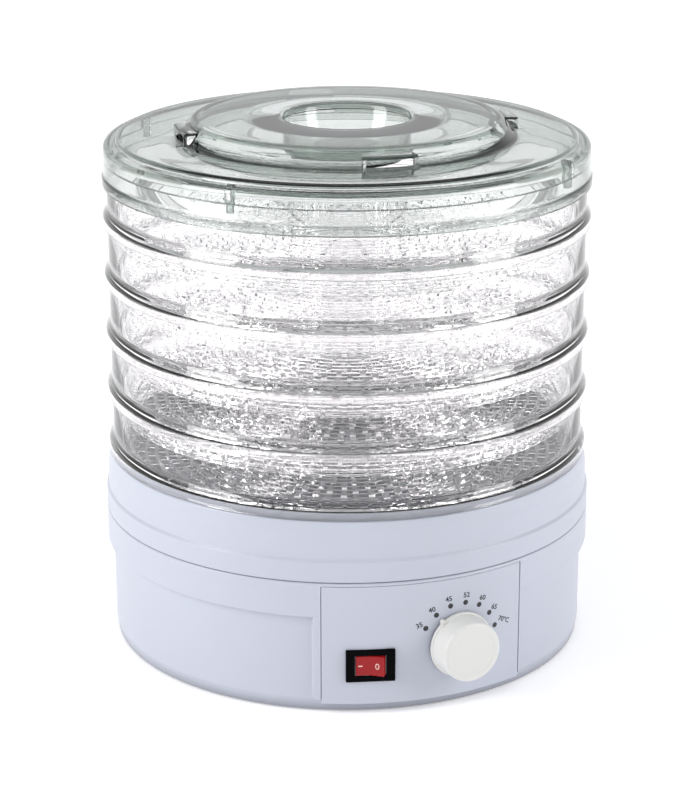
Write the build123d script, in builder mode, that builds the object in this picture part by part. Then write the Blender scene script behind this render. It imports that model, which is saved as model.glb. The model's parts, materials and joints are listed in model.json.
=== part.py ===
"""Food dehydrator: a fan-and-heater base, five stacking clear trays and a tinted lid.

Millimetres, +Z up. The origin is at the base's centre on the surface that the feet stand on, and the
controls face -Y. An azimuth is an angle about Z in degrees, 0 at the front and growing to the right.
"""
from build123d import *
from math import cos, radians, sin, tan
import os

os.makedirs("parts", exist_ok=True)

# ---- driving dimensions ----
WALL = 2.4              # moulded wall of the base and lid
GAP = 0.3               # air between parts that lift off each other
FIT = 0.05              # radial clearance of a turning shaft

# trays
TRAY_COUNT = 5
TRAY_R = 160.0          # outside of a tray's skirt
TRAY_PITCH = 38.3
TRAY_EDGE = 129.7       # height of the lowest tray's skirt edge
TRAY_TURN = 25.0        # each tray stands turned from the one below
TRAY_WALL = 2.0
TRAY_WALL_R = TRAY_R - 3.0
BASKET_R = 151.0        # outside of the floor's side band
BASKET_DROP = 12.0      # floor's underside below the skirt edge
FLOOR = 2.5
HUB_R = 40.0            # outside of the centre ring
HUB_TOP = 7.0           # above the skirt edge
SHOULDER = 4.8          # underside of the shoulder, above the skirt edge
RIM_TOP = TRAY_PITCH + SHOULDER - GAP

# base
BASE_R = 162.5
PLINTH_R = 157.5
RECESS_R = 158.5        # recessed wall of the lower housing
RECESS_TOP = 66.0
BASE_BOTTOM = 1.0
SEAM = 89.8             # joint between the housing and the top deck
DECK_TOP = 107.0
DECK_STEP = 104.6
LEDGE = TRAY_EDGE - GAP
LIP_R = TRAY_WALL_R - 0.1
OUTLET_R = 58.5         # air outlet bore
OUTLET_TOP = 114.0
COLUMN_AZ = (60.0, 150.0, 240.0, 330.0)
COLUMN_R = 140.0        # pitch radius of the screw columns
COVER_Z = 5.0           # underside of the bottom cover
COVER_TOP = 8.0
FEET_AZ = (15.0, 105.0, 195.0, 285.0)
FEET_R = 132.0

# controls
PANEL_AZ = (-5.7, 42.6)
PANEL_Z = (7.5, 87.0)
PANEL_T = 2.5
SWITCH_AZ, SWITCH_Z = 5.2, 34.1
KNOB_AZ, KNOB_Z = 26.0, 42.5
KNOB_R = 20.5
KNOB_REACH = 17.3       # knob's front beyond the panel
OVERHANG_Y = 169.168    # the knob's rim in front and the cord gland behind both reach this far
POINTER_TILT = 37.0     # pointer's lean to the left of straight up, at rest
ROCKER_TILT = 10.0      # the rocker leans this far each way

# lid
LID_EDGE = 309.6
LID_RIM = 336.3
LID_PLATE = 339.5
LID_CROWN = 350.7
LID_WELL_FLOOR = 324.8
VENT_AZ = (14.0, 104.0, 194.0, 284.0)
TAB_AZ = (-27.0, 63.0, 153.0, 243.0)

# motor, fan and heater, all on the centre line
SHAFT_R = 3.0
SHAFT_Z = (13.0, 79.0)
ROTOR_R = 14.0
CORE_Z = (26.0, 46.0)
FAN_R = 56.0
FAN_Z = (59.0, 75.0)
DUCT_R = 62.0           # outside of the fan duct
HEATER_Z = 91.0


# ---- shared geometry ----
def place(r, azimuth, z=0.0):
    """Point at a radius and azimuth."""
    return (r * sin(radians(azimuth)), -r * cos(radians(azimuth)), z)


def outward(r, azimuth, z):
    """Plane that looks out of the base: x to the right, y up."""
    side = (cos(radians(azimuth)), sin(radians(azimuth)), 0)
    return Plane(origin=place(r, azimuth, z), x_dir=side, z_dir=place(1, azimuth))


def profile(points, rounds=()):
    """Closed outline of (radius, z) points to revolve, with (radius, z, fillet) corners rounded."""
    with BuildSketch(Plane.XZ) as outline:
        with BuildLine():
            Polyline(*points, close=True)
        make_face()
        for x, y, fillet_r in rounds:
            corner = outline.vertices().sort_by_distance((x, y, 0))[0]
            fillet(corner, fillet_r)
    return outline.sketch


def ring_sector(inner_r, outer_r, az_from, az_to):
    """Ring sector between two azimuths, flat at z 0."""
    with BuildSketch() as sector:
        with BuildLine():
            outer = CenterArc((0, 0), outer_r, az_from - 90, az_to - az_from)
            inner = CenterArc((0, 0), inner_r, az_from - 90, az_to - az_from)
            Line(outer @ 0, inner @ 0)
            Line(outer @ 1, inner @ 1)
        make_face()
    return sector.sketch


def save(builder, label):
    """Label a finished piece and write it."""
    builder.part.label = label
    export_step(builder.part, f"parts/{label}.step")


# ---- trays: wall, floor and centre ring of one moulding, five copies ----
with BuildPart() as tray_wall:
    revolve(profile(
        [
            (TRAY_R, 0),
            (TRAY_R, 6),
            (TRAY_WALL_R, 12),
            (TRAY_WALL_R, RIM_TOP),
            (TRAY_WALL_R - TRAY_WALL, RIM_TOP),
            (TRAY_WALL_R - TRAY_WALL, 9),
            (BASKET_R - TRAY_WALL, SHOULDER + 2.4),
            (BASKET_R - TRAY_WALL, -BASKET_DROP),
            (BASKET_R, -BASKET_DROP),
            (BASKET_R, SHOULDER),
            (TRAY_WALL_R + 0.4, SHOULDER),
            (TRAY_WALL_R + 0.4, 0),
        ],
        rounds=[(TRAY_R, 6, 6), (TRAY_WALL_R, 12, 6), (TRAY_WALL_R, RIM_TOP, 0.8)],
    ), axis=Axis.Z)
    # windows in the side band
    with PolarLocations(BASKET_R - 1, 36):
        with Locations((0, 0, -3)):
            Box(8, 9, 6, mode=Mode.SUBTRACT)

with BuildPart() as tray_floor:
    with BuildSketch(Plane.XY.offset(-BASKET_DROP)):
        Circle(BASKET_R - TRAY_WALL)
        Circle(HUB_R, mode=Mode.SUBTRACT)
    extrude(amount=FLOOR)
    # rings of openings between straight radial ribs
    for ring_radii, rib_count in (((86, 74, 62, 50), 24), ((134, 122, 110, 98), 36)):
        with BuildSketch(Plane.XY.offset(-BASKET_DROP)):
            for ring_r in ring_radii:
                Circle(ring_r + 8)
                Circle(ring_r, mode=Mode.SUBTRACT)
            with PolarLocations(100, rib_count):
                Rectangle(130, 3.5, mode=Mode.SUBTRACT)
        extrude(amount=FLOOR, mode=Mode.SUBTRACT)

with BuildPart() as tray_hub:
    with BuildSketch(Plane.XY.offset(-BASKET_DROP)):
        Circle(HUB_R)
        Circle(HUB_R - 2.5, mode=Mode.SUBTRACT)
    extrude(amount=BASKET_DROP + HUB_TOP)
    # upright slots
    with PolarLocations(HUB_R - 1.25, 24):
        with Locations((0, 0, -2)):
            Box(8, 4, 9, mode=Mode.SUBTRACT)

for number in range(1, TRAY_COUNT + 1):
    edge_z = TRAY_EDGE + TRAY_PITCH * (number - 1)
    for piece, ending in ((tray_wall, ""), (tray_floor, "_floor"), (tray_hub, "_hub")):
        with BuildPart() as tray_copy:
            add(piece.part.rotate(Axis.Z, TRAY_TURN * (number - 3)).translate((0, 0, edge_z)))
        save(tray_copy, f"tray_{number}{ending}")

# ---- lid ----
with BuildPart() as lid:
    revolve(profile(
        [
            (0, LID_WELL_FLOOR),
            (37.2, LID_WELL_FLOOR),
            (42.2, LID_CROWN),
            (100.6, LID_CROWN),
            (109, LID_PLATE),
            (150, LID_PLATE),
            (151.5, LID_RIM),
            (158.8, LID_RIM),
            (158.8, LID_EDGE + 7.4),
            (TRAY_R, LID_EDGE + 6),
            (TRAY_R, LID_EDGE),
            (TRAY_R - WALL, LID_EDGE),
            (TRAY_R - WALL, LID_EDGE + 6),
            (156.8 + GAP, LID_RIM - WALL),
            (149.8, LID_RIM - WALL),
            (148.5, LID_PLATE - WALL),
            (106.2, LID_PLATE - WALL),
            (106.2, 330),
            (103.8, 330),
            (103.8, LID_PLATE - WALL + 3),
            (99, LID_CROWN - WALL),
            (44.2, LID_CROWN - WALL),
            (39.4, LID_WELL_FLOOR - WALL),
            (0, LID_WELL_FLOOR - WALL),
        ],
        rounds=[
            (37.2, LID_WELL_FLOOR, 3),
            (42.2, LID_CROWN, 1.6),
            (100.6, LID_CROWN, 3),
            (109, LID_PLATE, 2.5),
            (158.8, LID_RIM, 4),
            (39.4, LID_WELL_FLOOR - WALL, 2.5),
        ],
    ), axis=Axis.Z)
    # hooded vents on the cone, open outwards and through to the inside
    for azimuth in VENT_AZ:
        with BuildSketch(outward(99, azimuth, 342.8)):
            Rectangle(34, 9)
        extrude(amount=13)
    for azimuth in VENT_AZ:
        with BuildSketch(outward(92, azimuth, 342.6)):
            Rectangle(30.6, 5.4)
        extrude(amount=22, mode=Mode.SUBTRACT)
    # tabs that centre the lid in the top tray's rim, and the shoulders that rest on it
    for azimuth in TAB_AZ:
        with BuildSketch(Plane.XY.offset(319.5)):
            with Locations(Location(place(152.5, azimuth), azimuth)):
                Rectangle(4.3, 4.1)
        extrude(amount=LID_RIM - WALL + 0.5 - 319.5)
        with BuildSketch(Plane.XY.offset(TRAY_EDGE + 4 * TRAY_PITCH + RIM_TOP + GAP)):
            with Locations(Location(place(154.6, azimuth), azimuth)):
                Rectangle(4.3, 4.6)
        extrude(until=Until.NEXT)
save(lid, "lid")

# ---- top deck of the base ----
with BuildPart() as top_deck:
    revolve(profile(
        [
            (BASE_R, SEAM),
            (BASE_R, DECK_STEP - 1.2),
            (BASE_R - 1.4, DECK_STEP),
            (BASE_R - 1.6, 119),
            (TRAY_R - 0.4, LEDGE),
            (LIP_R, LEDGE),
            (LIP_R, TRAY_EDGE + SHOULDER - GAP),
            (LIP_R - 2, TRAY_EDGE + SHOULDER - GAP),
            (LIP_R - 2, LEDGE - 2.4),
            (RECESS_R, LEDGE - 5),
            (RECESS_R, DECK_TOP),
            (OUTLET_R + 6, DECK_TOP),
            (OUTLET_R + 3.5, OUTLET_TOP),
            (OUTLET_R, OUTLET_TOP),
            (OUTLET_R, DECK_TOP - 2.5),
            (BASE_R - 2.5, DECK_TOP - 2.5),
            (BASE_R - 2.5, SEAM),
        ],
        rounds=[
            (BASE_R - 1.6, 119, 30),
            (TRAY_R - 0.4, LEDGE, 2),
            (BASE_R, DECK_STEP - 1.2, 1.2),
            (OUTLET_R + 6, DECK_TOP, 3),
        ],
    ), axis=Axis.Z)
    # columns for the long case screws
    with BuildSketch(Plane.XY.offset(COVER_TOP)):
        for azimuth in COLUMN_AZ:
            with Locations(place(COLUMN_R, azimuth)[:2]):
                Circle(5)
    extrude(amount=DECK_TOP - 2 - COVER_TOP)
    with BuildSketch(Plane.XY.offset(COVER_TOP)):
        for azimuth in COLUMN_AZ:
            with Locations(place(COLUMN_R, azimuth)[:2]):
                Circle(1.9)
    extrude(amount=26, mode=Mode.SUBTRACT)
save(top_deck, "top_deck")

# ---- air outlet grille: a guard over the fan and heater ----
with BuildPart() as outlet_grille:
    revolve(profile(
        [
            (0, OUTLET_TOP),
            (OUTLET_R - 2.2, OUTLET_TOP),
            (OUTLET_R - 2.2, OUTLET_TOP - 6),
            (OUTLET_R - 0.2, OUTLET_TOP - 6),
            (OUTLET_R - 0.2, OUTLET_TOP),
            (OUTLET_R + 3, OUTLET_TOP),
            (OUTLET_R + 3, OUTLET_TOP + 1.4),
            (OUTLET_R + 1.6, OUTLET_TOP + 2.2),
            (0, OUTLET_TOP + 2.2),
        ]
    ), axis=Axis.Z)
    with BuildSketch(Plane.XY.offset(OUTLET_TOP)):
        for ring_r in (46, 38, 30, 22, 14):
            Circle(ring_r + 5.5)
            Circle(ring_r, mode=Mode.SUBTRACT)
        with PolarLocations(40, 12):
            Rectangle(90, 2.4, mode=Mode.SUBTRACT)
    extrude(amount=2.2, mode=Mode.SUBTRACT)
save(outlet_grille, "outlet_grille")

# ---- air duct under the outlet ----
PAD_AZ = (160.0, 200.0)     # flats that carry the two heat cut-outs
with BuildPart() as air_duct:
    revolve(profile(
        [
            (DUCT_R - 2, 57),
            (DUCT_R + 5, 52),
            (DUCT_R + 7, 53.6),
            (DUCT_R, 59),
            (DUCT_R, DECK_TOP - 5),
            (DUCT_R + 8, DECK_TOP - 5),
            (DUCT_R + 8, DECK_TOP - 2.5),
            (DUCT_R - 2, DECK_TOP - 2.5),
        ]
    ), axis=Axis.Z)
    for azimuth in PAD_AZ:
        with BuildSketch(outward(DUCT_R - 1, azimuth, 84)):
            Rectangle(16, 18)
        extrude(amount=3)
    Cylinder(DUCT_R - 2, 160, mode=Mode.SUBTRACT)
save(air_duct, "air_duct")

# ---- lower housing ----
SWITCH_HOLE = (27.0, 18.6)
with BuildPart() as base_housing:
    revolve(profile(
        [
            (PLINTH_R - 1.5, BASE_BOTTOM),
            (PLINTH_R, BASE_BOTTOM + 1.5),
            (PLINTH_R + 0.4, COVER_TOP),
            (RECESS_R, COVER_TOP + 1.2),
            (RECESS_R, RECESS_TOP - 1.5),
            (BASE_R, RECESS_TOP + 0.5),
            (BASE_R, SEAM - 0.6),
            (BASE_R - 2.7, SEAM - 0.6),
            (BASE_R - 2.7, SEAM + 5.5),
            (BASE_R - 4.9, SEAM + 5.5),
            (BASE_R - 4.9, RECESS_TOP + 6),
            (RECESS_R - 3, RECESS_TOP - 1),
            (RECESS_R - 3, BASE_BOTTOM),
        ],
        rounds=[(BASE_R, RECESS_TOP + 0.5, 1.2)],
    ), axis=Axis.Z)
    # proud frame around the control panel, and the pocket that takes the panel
    with BuildSketch(Plane.XY.offset(COVER_TOP + 0.6)):
        add(ring_sector(RECESS_R - 1.5, BASE_R, PANEL_AZ[0] - 1.9, PANEL_AZ[1] + 0.8))
    extrude(amount=RECESS_TOP - COVER_TOP)
    with BuildSketch(Plane.XY.offset(PANEL_Z[0] - 0.15)):
        add(ring_sector(BASE_R - PANEL_T, BASE_R + 6, PANEL_AZ[0] - 0.06, PANEL_AZ[1] + 0.14))
    extrude(amount=PANEL_Z[1] - PANEL_Z[0] + 0.3, mode=Mode.SUBTRACT)
    # behind the panel: room for the switch body, the thermostat bush and, at the back, the cord gland
    with BuildSketch(outward(RECESS_R - 12, SWITCH_AZ, SWITCH_Z)):
        Rectangle(*SWITCH_HOLE)
    extrude(amount=20, mode=Mode.SUBTRACT)
    with BuildSketch(outward(RECESS_R - 12, KNOB_AZ, KNOB_Z)):
        Circle(5.3)
    extrude(amount=20, mode=Mode.SUBTRACT)
    with BuildSketch(outward(RECESS_R - 12, 180, 25)):
        Circle(7)
    extrude(amount=20, mode=Mode.SUBTRACT)
save(base_housing, "base_housing")

# ---- control panel: a curved insert ----
BEZEL = (31.3, 21.6)
BEZEL_BACK = BASE_R - 0.9
with BuildPart() as control_panel:
    with BuildSketch(Plane.XY.offset(PANEL_Z[0])):
        add(ring_sector(BASE_R - PANEL_T, BASE_R, *PANEL_AZ))
    extrude(amount=PANEL_Z[1] - PANEL_Z[0])
    with BuildSketch(outward(RECESS_R - 12, SWITCH_AZ, SWITCH_Z)):
        Rectangle(*SWITCH_HOLE)
    extrude(amount=20, mode=Mode.SUBTRACT)
    with BuildSketch(outward(BEZEL_BACK, SWITCH_AZ, SWITCH_Z)):
        Rectangle(BEZEL[0] + 0.3, BEZEL[1] + 0.3)
    extrude(amount=6, mode=Mode.SUBTRACT)
    with BuildSketch(outward(RECESS_R - 12, KNOB_AZ, KNOB_Z)):
        Circle(5.3)
    extrude(amount=20, mode=Mode.SUBTRACT)
save(control_panel, "control_panel")

# ---- bottom cover with the air intake ----
MOTOR_POST_X = 27.0
with BuildPart() as bottom_cover:
    with BuildSketch(Plane.XY.offset(COVER_Z)):
        Circle(RECESS_R - 3.2)
    extrude(amount=COVER_TOP - COVER_Z)
    with BuildSketch(Plane.XY.offset(COVER_TOP)):
        with GridLocations(2 * MOTOR_POST_X, 1, 2, 1):
            Circle(5.5)
    extrude(amount=2)
    with BuildSketch(Plane.XY.offset(COVER_Z)):
        for ring_r in (72, 60, 48, 36):
            Circle(ring_r + 6)
            Circle(ring_r, mode=Mode.SUBTRACT)
        with PolarLocations(50, 12):
            Rectangle(110, 9, mode=Mode.SUBTRACT)
    extrude(amount=COVER_TOP - COVER_Z, mode=Mode.SUBTRACT)
    with BuildSketch(Plane.XY.offset(COVER_Z)):
        for azimuth in COLUMN_AZ:
            with Locations(place(COLUMN_R, azimuth)[:2]):
                Circle(2.3)
        for azimuth in FEET_AZ:
            with Locations(place(FEET_R, azimuth)[:2]):
                Circle(3.5)
        with GridLocations(2 * MOTOR_POST_X, 1, 2, 1):
            Circle(1.8)
    extrude(amount=5, mode=Mode.SUBTRACT)
save(bottom_cover, "bottom_cover")

with BuildPart() as rubber_feet:
    for azimuth in FEET_AZ:
        with Locations(place(FEET_R, azimuth)):
            Cylinder(11, COVER_Z, align=(Align.CENTER, Align.CENTER, Align.MIN))
        with Locations(place(FEET_R, azimuth, COVER_Z)):
            Cylinder(3.5, 3, align=(Align.CENTER, Align.CENTER, Align.MIN))
    chamfer(rubber_feet.edges().group_by(Axis.Z)[0], 1)
save(rubber_feet, "rubber_feet")

with BuildPart() as housing_screws:
    for azimuth in COLUMN_AZ:
        with Locations(place(COLUMN_R, azimuth, COVER_Z - 1.6)):
            Cylinder(4, 1.6, align=(Align.CENTER, Align.CENTER, Align.MIN))
        with Locations(place(COLUMN_R, azimuth, COVER_Z)):
            Cylinder(1.9, 25, align=(Align.CENTER, Align.CENTER, Align.MIN))
save(housing_screws, "housing_screws")

# ---- rocker switch ----
ROCKER = (17.8, 13.2)
ROCKER_SIDE_R = 9.6         # the rocker's flanks are arcs about its pin
ROCKER_PIN = BASE_R - 1.0   # radius of the pin's axis in the base
PIN_R = 1.3
with BuildPart() as switch_bezel:
    with BuildSketch(outward(BEZEL_BACK, SWITCH_AZ, SWITCH_Z)):
        Rectangle(*BEZEL)
    extrude(amount=2.4)
    chamfer(switch_bezel.faces().sort_by(Axis(place(0, 0), place(1, SWITCH_AZ)))[-1].edges(), 0.6)
    with BuildSketch(outward(BEZEL_BACK, SWITCH_AZ, SWITCH_Z)):
        Rectangle(SWITCH_HOLE[0] - 0.4, SWITCH_HOLE[1] - 0.4)
    extrude(amount=-24)
    with BuildSketch(outward(BEZEL_BACK - 13, SWITCH_AZ, SWITCH_Z)):
        Rectangle(2 * ROCKER_SIDE_R + 0.8, ROCKER[1] + 0.8)
    extrude(amount=20, mode=Mode.SUBTRACT)
    with Locations(Location(place(ROCKER_PIN, SWITCH_AZ, SWITCH_Z))):
        Cylinder(PIN_R + FIT, ROCKER[1] + 3, mode=Mode.SUBTRACT)
save(switch_bezel, "switch_bezel")

rocker_plane = Plane(
    origin=place(ROCKER_PIN, SWITCH_AZ, SWITCH_Z - ROCKER[1] / 2),
    x_dir=place(1, SWITCH_AZ + 90 - ROCKER_TILT),
    z_dir=(0, 0, 1),
)
ROCKER_MID = -2.0           # dip of the face on the rocker's centre line, forward is -y
TIP_Y = ROCKER_MID - ROCKER[0] / 2 * tan(radians(ROCKER_TILT))
with BuildPart() as switch_rocker:
    with BuildSketch(rocker_plane):
        Circle(ROCKER_SIDE_R)
        with Locations((0, ROCKER_SIDE_R + 2.5)):
            Rectangle(30, 2 * ROCKER_SIDE_R, mode=Mode.SUBTRACT)
        with BuildLine():
            Polyline(
                (0, ROCKER_MID), (ROCKER[0] / 2, TIP_Y), (15, TIP_Y), (15, -15),
                (-15, -15), (-15, TIP_Y), (-ROCKER[0] / 2, TIP_Y), close=True,
            )
        make_face(mode=Mode.SUBTRACT)
    extrude(amount=ROCKER[1])
    with Locations(place(ROCKER_PIN, SWITCH_AZ, SWITCH_Z)):
        Cylinder(PIN_R, ROCKER[1] + 2.4)
save(switch_rocker, "switch_rocker")

with BuildPart() as switch_terminals:
    with BuildSketch(outward(BEZEL_BACK - 24, SWITCH_AZ, SWITCH_Z)):
        with GridLocations(9, 1, 3, 1):
            Rectangle(0.8, 6.3)
    extrude(amount=-9)
save(switch_terminals, "switch_terminals")

# ---- thermostat and knob, on one radial axis ----
with BuildPart() as thermostat_body:
    with BuildSketch(outward(124, KNOB_AZ, KNOB_Z)):
        Circle(14)
    extrude(amount=28)
    with BuildSketch(outward(152, KNOB_AZ, KNOB_Z)):
        Circle(5.1)
    extrude(amount=BASE_R + 3 - 152)
    with BuildSketch(outward(124, KNOB_AZ, KNOB_Z)):
        with GridLocations(12, 1, 2, 1):
            Rectangle(0.8, 6.3)
    extrude(amount=-8)
    with BuildSketch(outward(140, KNOB_AZ, KNOB_Z)):
        Circle(SHAFT_R + FIT)
    extrude(amount=30, mode=Mode.SUBTRACT)
save(thermostat_body, "thermostat_body")

with BuildPart() as thermostat_nut:
    with BuildSketch(outward(BASE_R, KNOB_AZ, KNOB_Z)):
        RegularPolygon(7.5, 6)
        Circle(5.1, mode=Mode.SUBTRACT)
    extrude(amount=2.4)
save(thermostat_nut, "thermostat_nut")

with BuildPart() as thermostat_shaft:
    with BuildSketch(outward(141, KNOB_AZ, KNOB_Z)):
        Circle(SHAFT_R)
    extrude(amount=BASE_R + 13 - 141)
save(thermostat_shaft, "thermostat_shaft")

KNOB_BACK = 0.6             # knob's back edge stands off the panel
with BuildPart() as knob:
    with BuildSketch(outward(BASE_R + KNOB_BACK, KNOB_AZ, KNOB_Z)):
        Circle(KNOB_R + 1)
    extrude(amount=2.2)
    with BuildSketch(outward(BASE_R + KNOB_BACK, KNOB_AZ, KNOB_Z)):
        Circle(KNOB_R)
    extrude(amount=KNOB_REACH - KNOB_BACK, taper=5)
    front = knob.faces().sort_by(Axis(place(0, 0), place(1, KNOB_AZ)))[-1]
    fillet(front.edges(), 2.6)
    # pointer on the flange
    with BuildSketch(outward(BASE_R + KNOB_BACK, KNOB_AZ, KNOB_Z)):
        with Locations(Location((0, 0), POINTER_TILT)):
            with BuildLine():
                Polyline((-3.6, KNOB_R - 1), (3.6, KNOB_R - 1), (0, KNOB_R + 3.6), close=True)
            make_face()
    extrude(amount=3.2)
    # hollow back, and the socket for the thermostat's shaft
    with BuildSketch(outward(BASE_R + KNOB_BACK, KNOB_AZ, KNOB_Z)):
        Circle(KNOB_R - 3)
        Circle(SHAFT_R + 2.4, mode=Mode.SUBTRACT)
    extrude(amount=9, mode=Mode.SUBTRACT)
    with BuildSketch(outward(BASE_R, KNOB_AZ, KNOB_Z)):
        Circle(9)
    extrude(amount=4, mode=Mode.SUBTRACT)
    with BuildSketch(outward(BASE_R, KNOB_AZ, KNOB_Z)):
        Circle(SHAFT_R)
    extrude(amount=13, mode=Mode.SUBTRACT)
save(knob, "knob")

# ---- fan motor ----
with BuildPart() as motor_core:
    with BuildSketch(Plane.XY.offset(CORE_Z[0])):
        with Locations((0, 14)):
            Rectangle(60, 72)
        Circle(ROTOR_R + 0.5, mode=Mode.SUBTRACT)
        with Locations((0, 29)):
            Rectangle(40, 18, mode=Mode.SUBTRACT)
    extrude(amount=CORE_Z[1] - CORE_Z[0])
save(motor_core, "motor_core")

with BuildPart() as motor_coil:
    with Locations((0, 44, 36)):
        Box(38, 26, 36)
    fillet(motor_coil.edges().filter_by(Axis.X), 1.5)
    with Locations((0, 44, 36)):
        Box(38, 12, 20, mode=Mode.SUBTRACT)
save(motor_coil, "motor_coil")

with BuildPart() as rotor_shaft:
    with BuildSketch(Plane.XY.offset(SHAFT_Z[0])):
        Circle(SHAFT_R)
    extrude(amount=SHAFT_Z[1] - SHAFT_Z[0])
save(rotor_shaft, "rotor_shaft")

with BuildPart() as motor_rotor:
    with BuildSketch(Plane.XY.offset(CORE_Z[0])):
        Circle(ROTOR_R)
        Circle(SHAFT_R, mode=Mode.SUBTRACT)
    extrude(amount=CORE_Z[1] - CORE_Z[0])
save(motor_rotor, "motor_rotor")

BEARING_R = 6.0
with BuildPart() as motor_bearings:
    for bearing_z in (CORE_Z[0] - 9, CORE_Z[1] + 3):
        with BuildSketch(Plane.XY.offset(bearing_z)):
            Circle(BEARING_R)
            Circle(SHAFT_R + FIT, mode=Mode.SUBTRACT)
        extrude(amount=6)
save(motor_bearings, "motor_bearings")

with BuildPart() as motor_bracket:
    for plate_z, post_z in ((CORE_Z[0] - 6, CORE_Z[0] - 4), (CORE_Z[1] + 4, CORE_Z[1])):
        with BuildSketch(Plane.XY.offset(plate_z)):
            RectangleRounded(66, 15, 4)
            Circle(BEARING_R, mode=Mode.SUBTRACT)
            with GridLocations(2 * MOTOR_POST_X, 1, 2, 1):
                Circle(2.1, mode=Mode.SUBTRACT)
        extrude(amount=2)
        with BuildSketch(Plane.XY.offset(post_z)):
            with GridLocations(38, 1, 2, 1):
                Circle(2.5)
        extrude(amount=4)
save(motor_bracket, "motor_bracket")

with BuildPart() as motor_mounts:
    with BuildSketch(Plane.XY.offset(COVER_TOP + 2)):
        with GridLocations(2 * MOTOR_POST_X, 1, 2, 1):
            Circle(5.5)
            Circle(1.8, mode=Mode.SUBTRACT)
    extrude(amount=CORE_Z[0] - 6 - COVER_TOP - 2)
save(motor_mounts, "motor_mounts")

with BuildPart() as motor_screws:
    with BuildSketch(Plane.XY.offset(COVER_Z + 1)):
        with GridLocations(2 * MOTOR_POST_X, 1, 2, 1):
            Circle(1.8)
    extrude(amount=CORE_Z[0] - 4 - COVER_Z - 1)
    with BuildSketch(Plane.XY.offset(CORE_Z[0] - 4)):
        with GridLocations(2 * MOTOR_POST_X, 1, 2, 1):
            Circle(3.2)
    extrude(amount=2.2)
save(motor_screws, "motor_screws")

# ---- fan ----
BLADES = 5
BLADE_PITCH = 27.0
with BuildPart() as fan_blade:
    with PolarLocations(FAN_R / 2 + 5.5, BLADES):
        with Locations((0, 0, 66)):
            Box(FAN_R - 14, 26, 1.8, rotation=(BLADE_PITCH, 0, 0))
    with BuildSketch(Plane.XY.offset(FAN_Z[0])):
        Circle(15)
    extrude(amount=FAN_Z[1] - FAN_Z[0])
    fillet(fan_blade.edges().group_by(Axis.Z)[-1], 1.2)
    with Locations((0, 0, 66)):
        Cylinder(SHAFT_R, 40, mode=Mode.SUBTRACT)
save(fan_blade, "fan_blade")

with BuildPart() as fan_clip:
    with BuildSketch(Plane.XY.offset(FAN_Z[1])):
        Circle(6)
        Circle(SHAFT_R, mode=Mode.SUBTRACT)
    extrude(amount=1.5)
save(fan_clip, "fan_clip")

# ---- heater ----
COIL_RINGS = (24.0, 36.0, 48.0)
WIRE_R = 1.6
with BuildPart() as heat_shield:
    revolve(profile([(58.8, 80), (59.6, 80), (59.6, 103), (58.8, 103)]), axis=Axis.Z)
save(heat_shield, "heat_shield")

with BuildPart() as heater_frame:
    with Locations((0, 0, HEATER_Z)):
        Box(117, 1.2, 18)
        Box(1.2, 117, 18)
    for ring_r in COIL_RINGS:
        with PolarLocations(ring_r, 4):
            with Locations((0, 0, HEATER_Z)):
                Cylinder(WIRE_R + 0.2, 4, rotation=(90, 0, 0), mode=Mode.SUBTRACT)
save(heater_frame, "heater_frame")

with BuildPart() as heater_coil:
    with Locations((0, 0, HEATER_Z)):
        for ring_r in COIL_RINGS:
            Torus(ring_r, WIRE_R)
save(heater_coil, "heater_coil")

with BuildPart() as thermal_cutout:
    with BuildSketch(outward(DUCT_R + 2, PAD_AZ[0], 84)):
        Circle(7)
    extrude(amount=6)
    with BuildSketch(outward(DUCT_R + 8, PAD_AZ[0], 84)):
        with GridLocations(7, 1, 2, 1):
            Rectangle(0.8, 5)
    extrude(amount=6)
save(thermal_cutout, "thermal_cutout")

with BuildPart() as thermal_fuse:
    with BuildSketch(outward(DUCT_R + 4, PAD_AZ[1], 78.5)):
        Rectangle(4, 2)
    extrude(amount=-2)
    with Locations(place(DUCT_R + 4, PAD_AZ[1], 84)):
        Cylinder(2, 11)
save(thermal_fuse, "thermal_fuse")

# ---- wiring and cord entry ----
GLAND_Z = 25.0
GLAND_BORE = 3.6
with BuildPart() as cord_gland:
    with BuildSketch(outward(150, 180, GLAND_Z)):
        Circle(6.8)
    extrude(amount=9)
    with BuildSketch(outward(RECESS_R, 180, GLAND_Z)):
        Circle(9.5)
    extrude(amount=2.5)
    with BuildSketch(outward(RECESS_R + 2.5, 180, GLAND_Z)):
        Circle(8)
    extrude(amount=OVERHANG_Y - RECESS_R - 2.5, taper=8)
    with BuildSketch(outward(148, 180, GLAND_Z)):
        Circle(GLAND_BORE)
    extrude(amount=40, mode=Mode.SUBTRACT)
save(cord_gland, "cord_gland")

with BuildPart() as cord_clamp:
    with BuildSketch(outward(151, 180, GLAND_Z)):
        RegularPolygon(10, 6)
        Circle(6.8, mode=Mode.SUBTRACT)
    extrude(amount=4)
save(cord_clamp, "cord_clamp")

with BuildPart() as terminal_block:
    with Locations((0, 112, COVER_TOP)):
        Box(34, 16, 14, align=(Align.CENTER, Align.CENTER, Align.MIN))
    with Locations((0, 112, COVER_TOP + 14)):
        with GridLocations(11, 1, 3, 1):
            Cylinder(2.6, 16, mode=Mode.SUBTRACT)
save(terminal_block, "terminal_block")


def lead(r, azimuth_from, azimuth_to, z, wire_r=1.2):
    """Insulated lead that lies around the inside of the housing."""
    with BuildPart() as wire:
        with BuildLine():
            route = CenterArc((0, 0, z), r, azimuth_from - 90, azimuth_to - azimuth_from)
        with BuildSketch(Plane(origin=route @ 0, z_dir=route % 0)):
            Circle(wire_r)
        sweep()
    return wire


save(lead(112, 9.2, 170.5, 15.5), "lead_live")
save(lead(112, -170.5, 0.8, 15.5), "lead_neutral")
save(lead(112, 26, 155, 84), "lead_heater")
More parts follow.
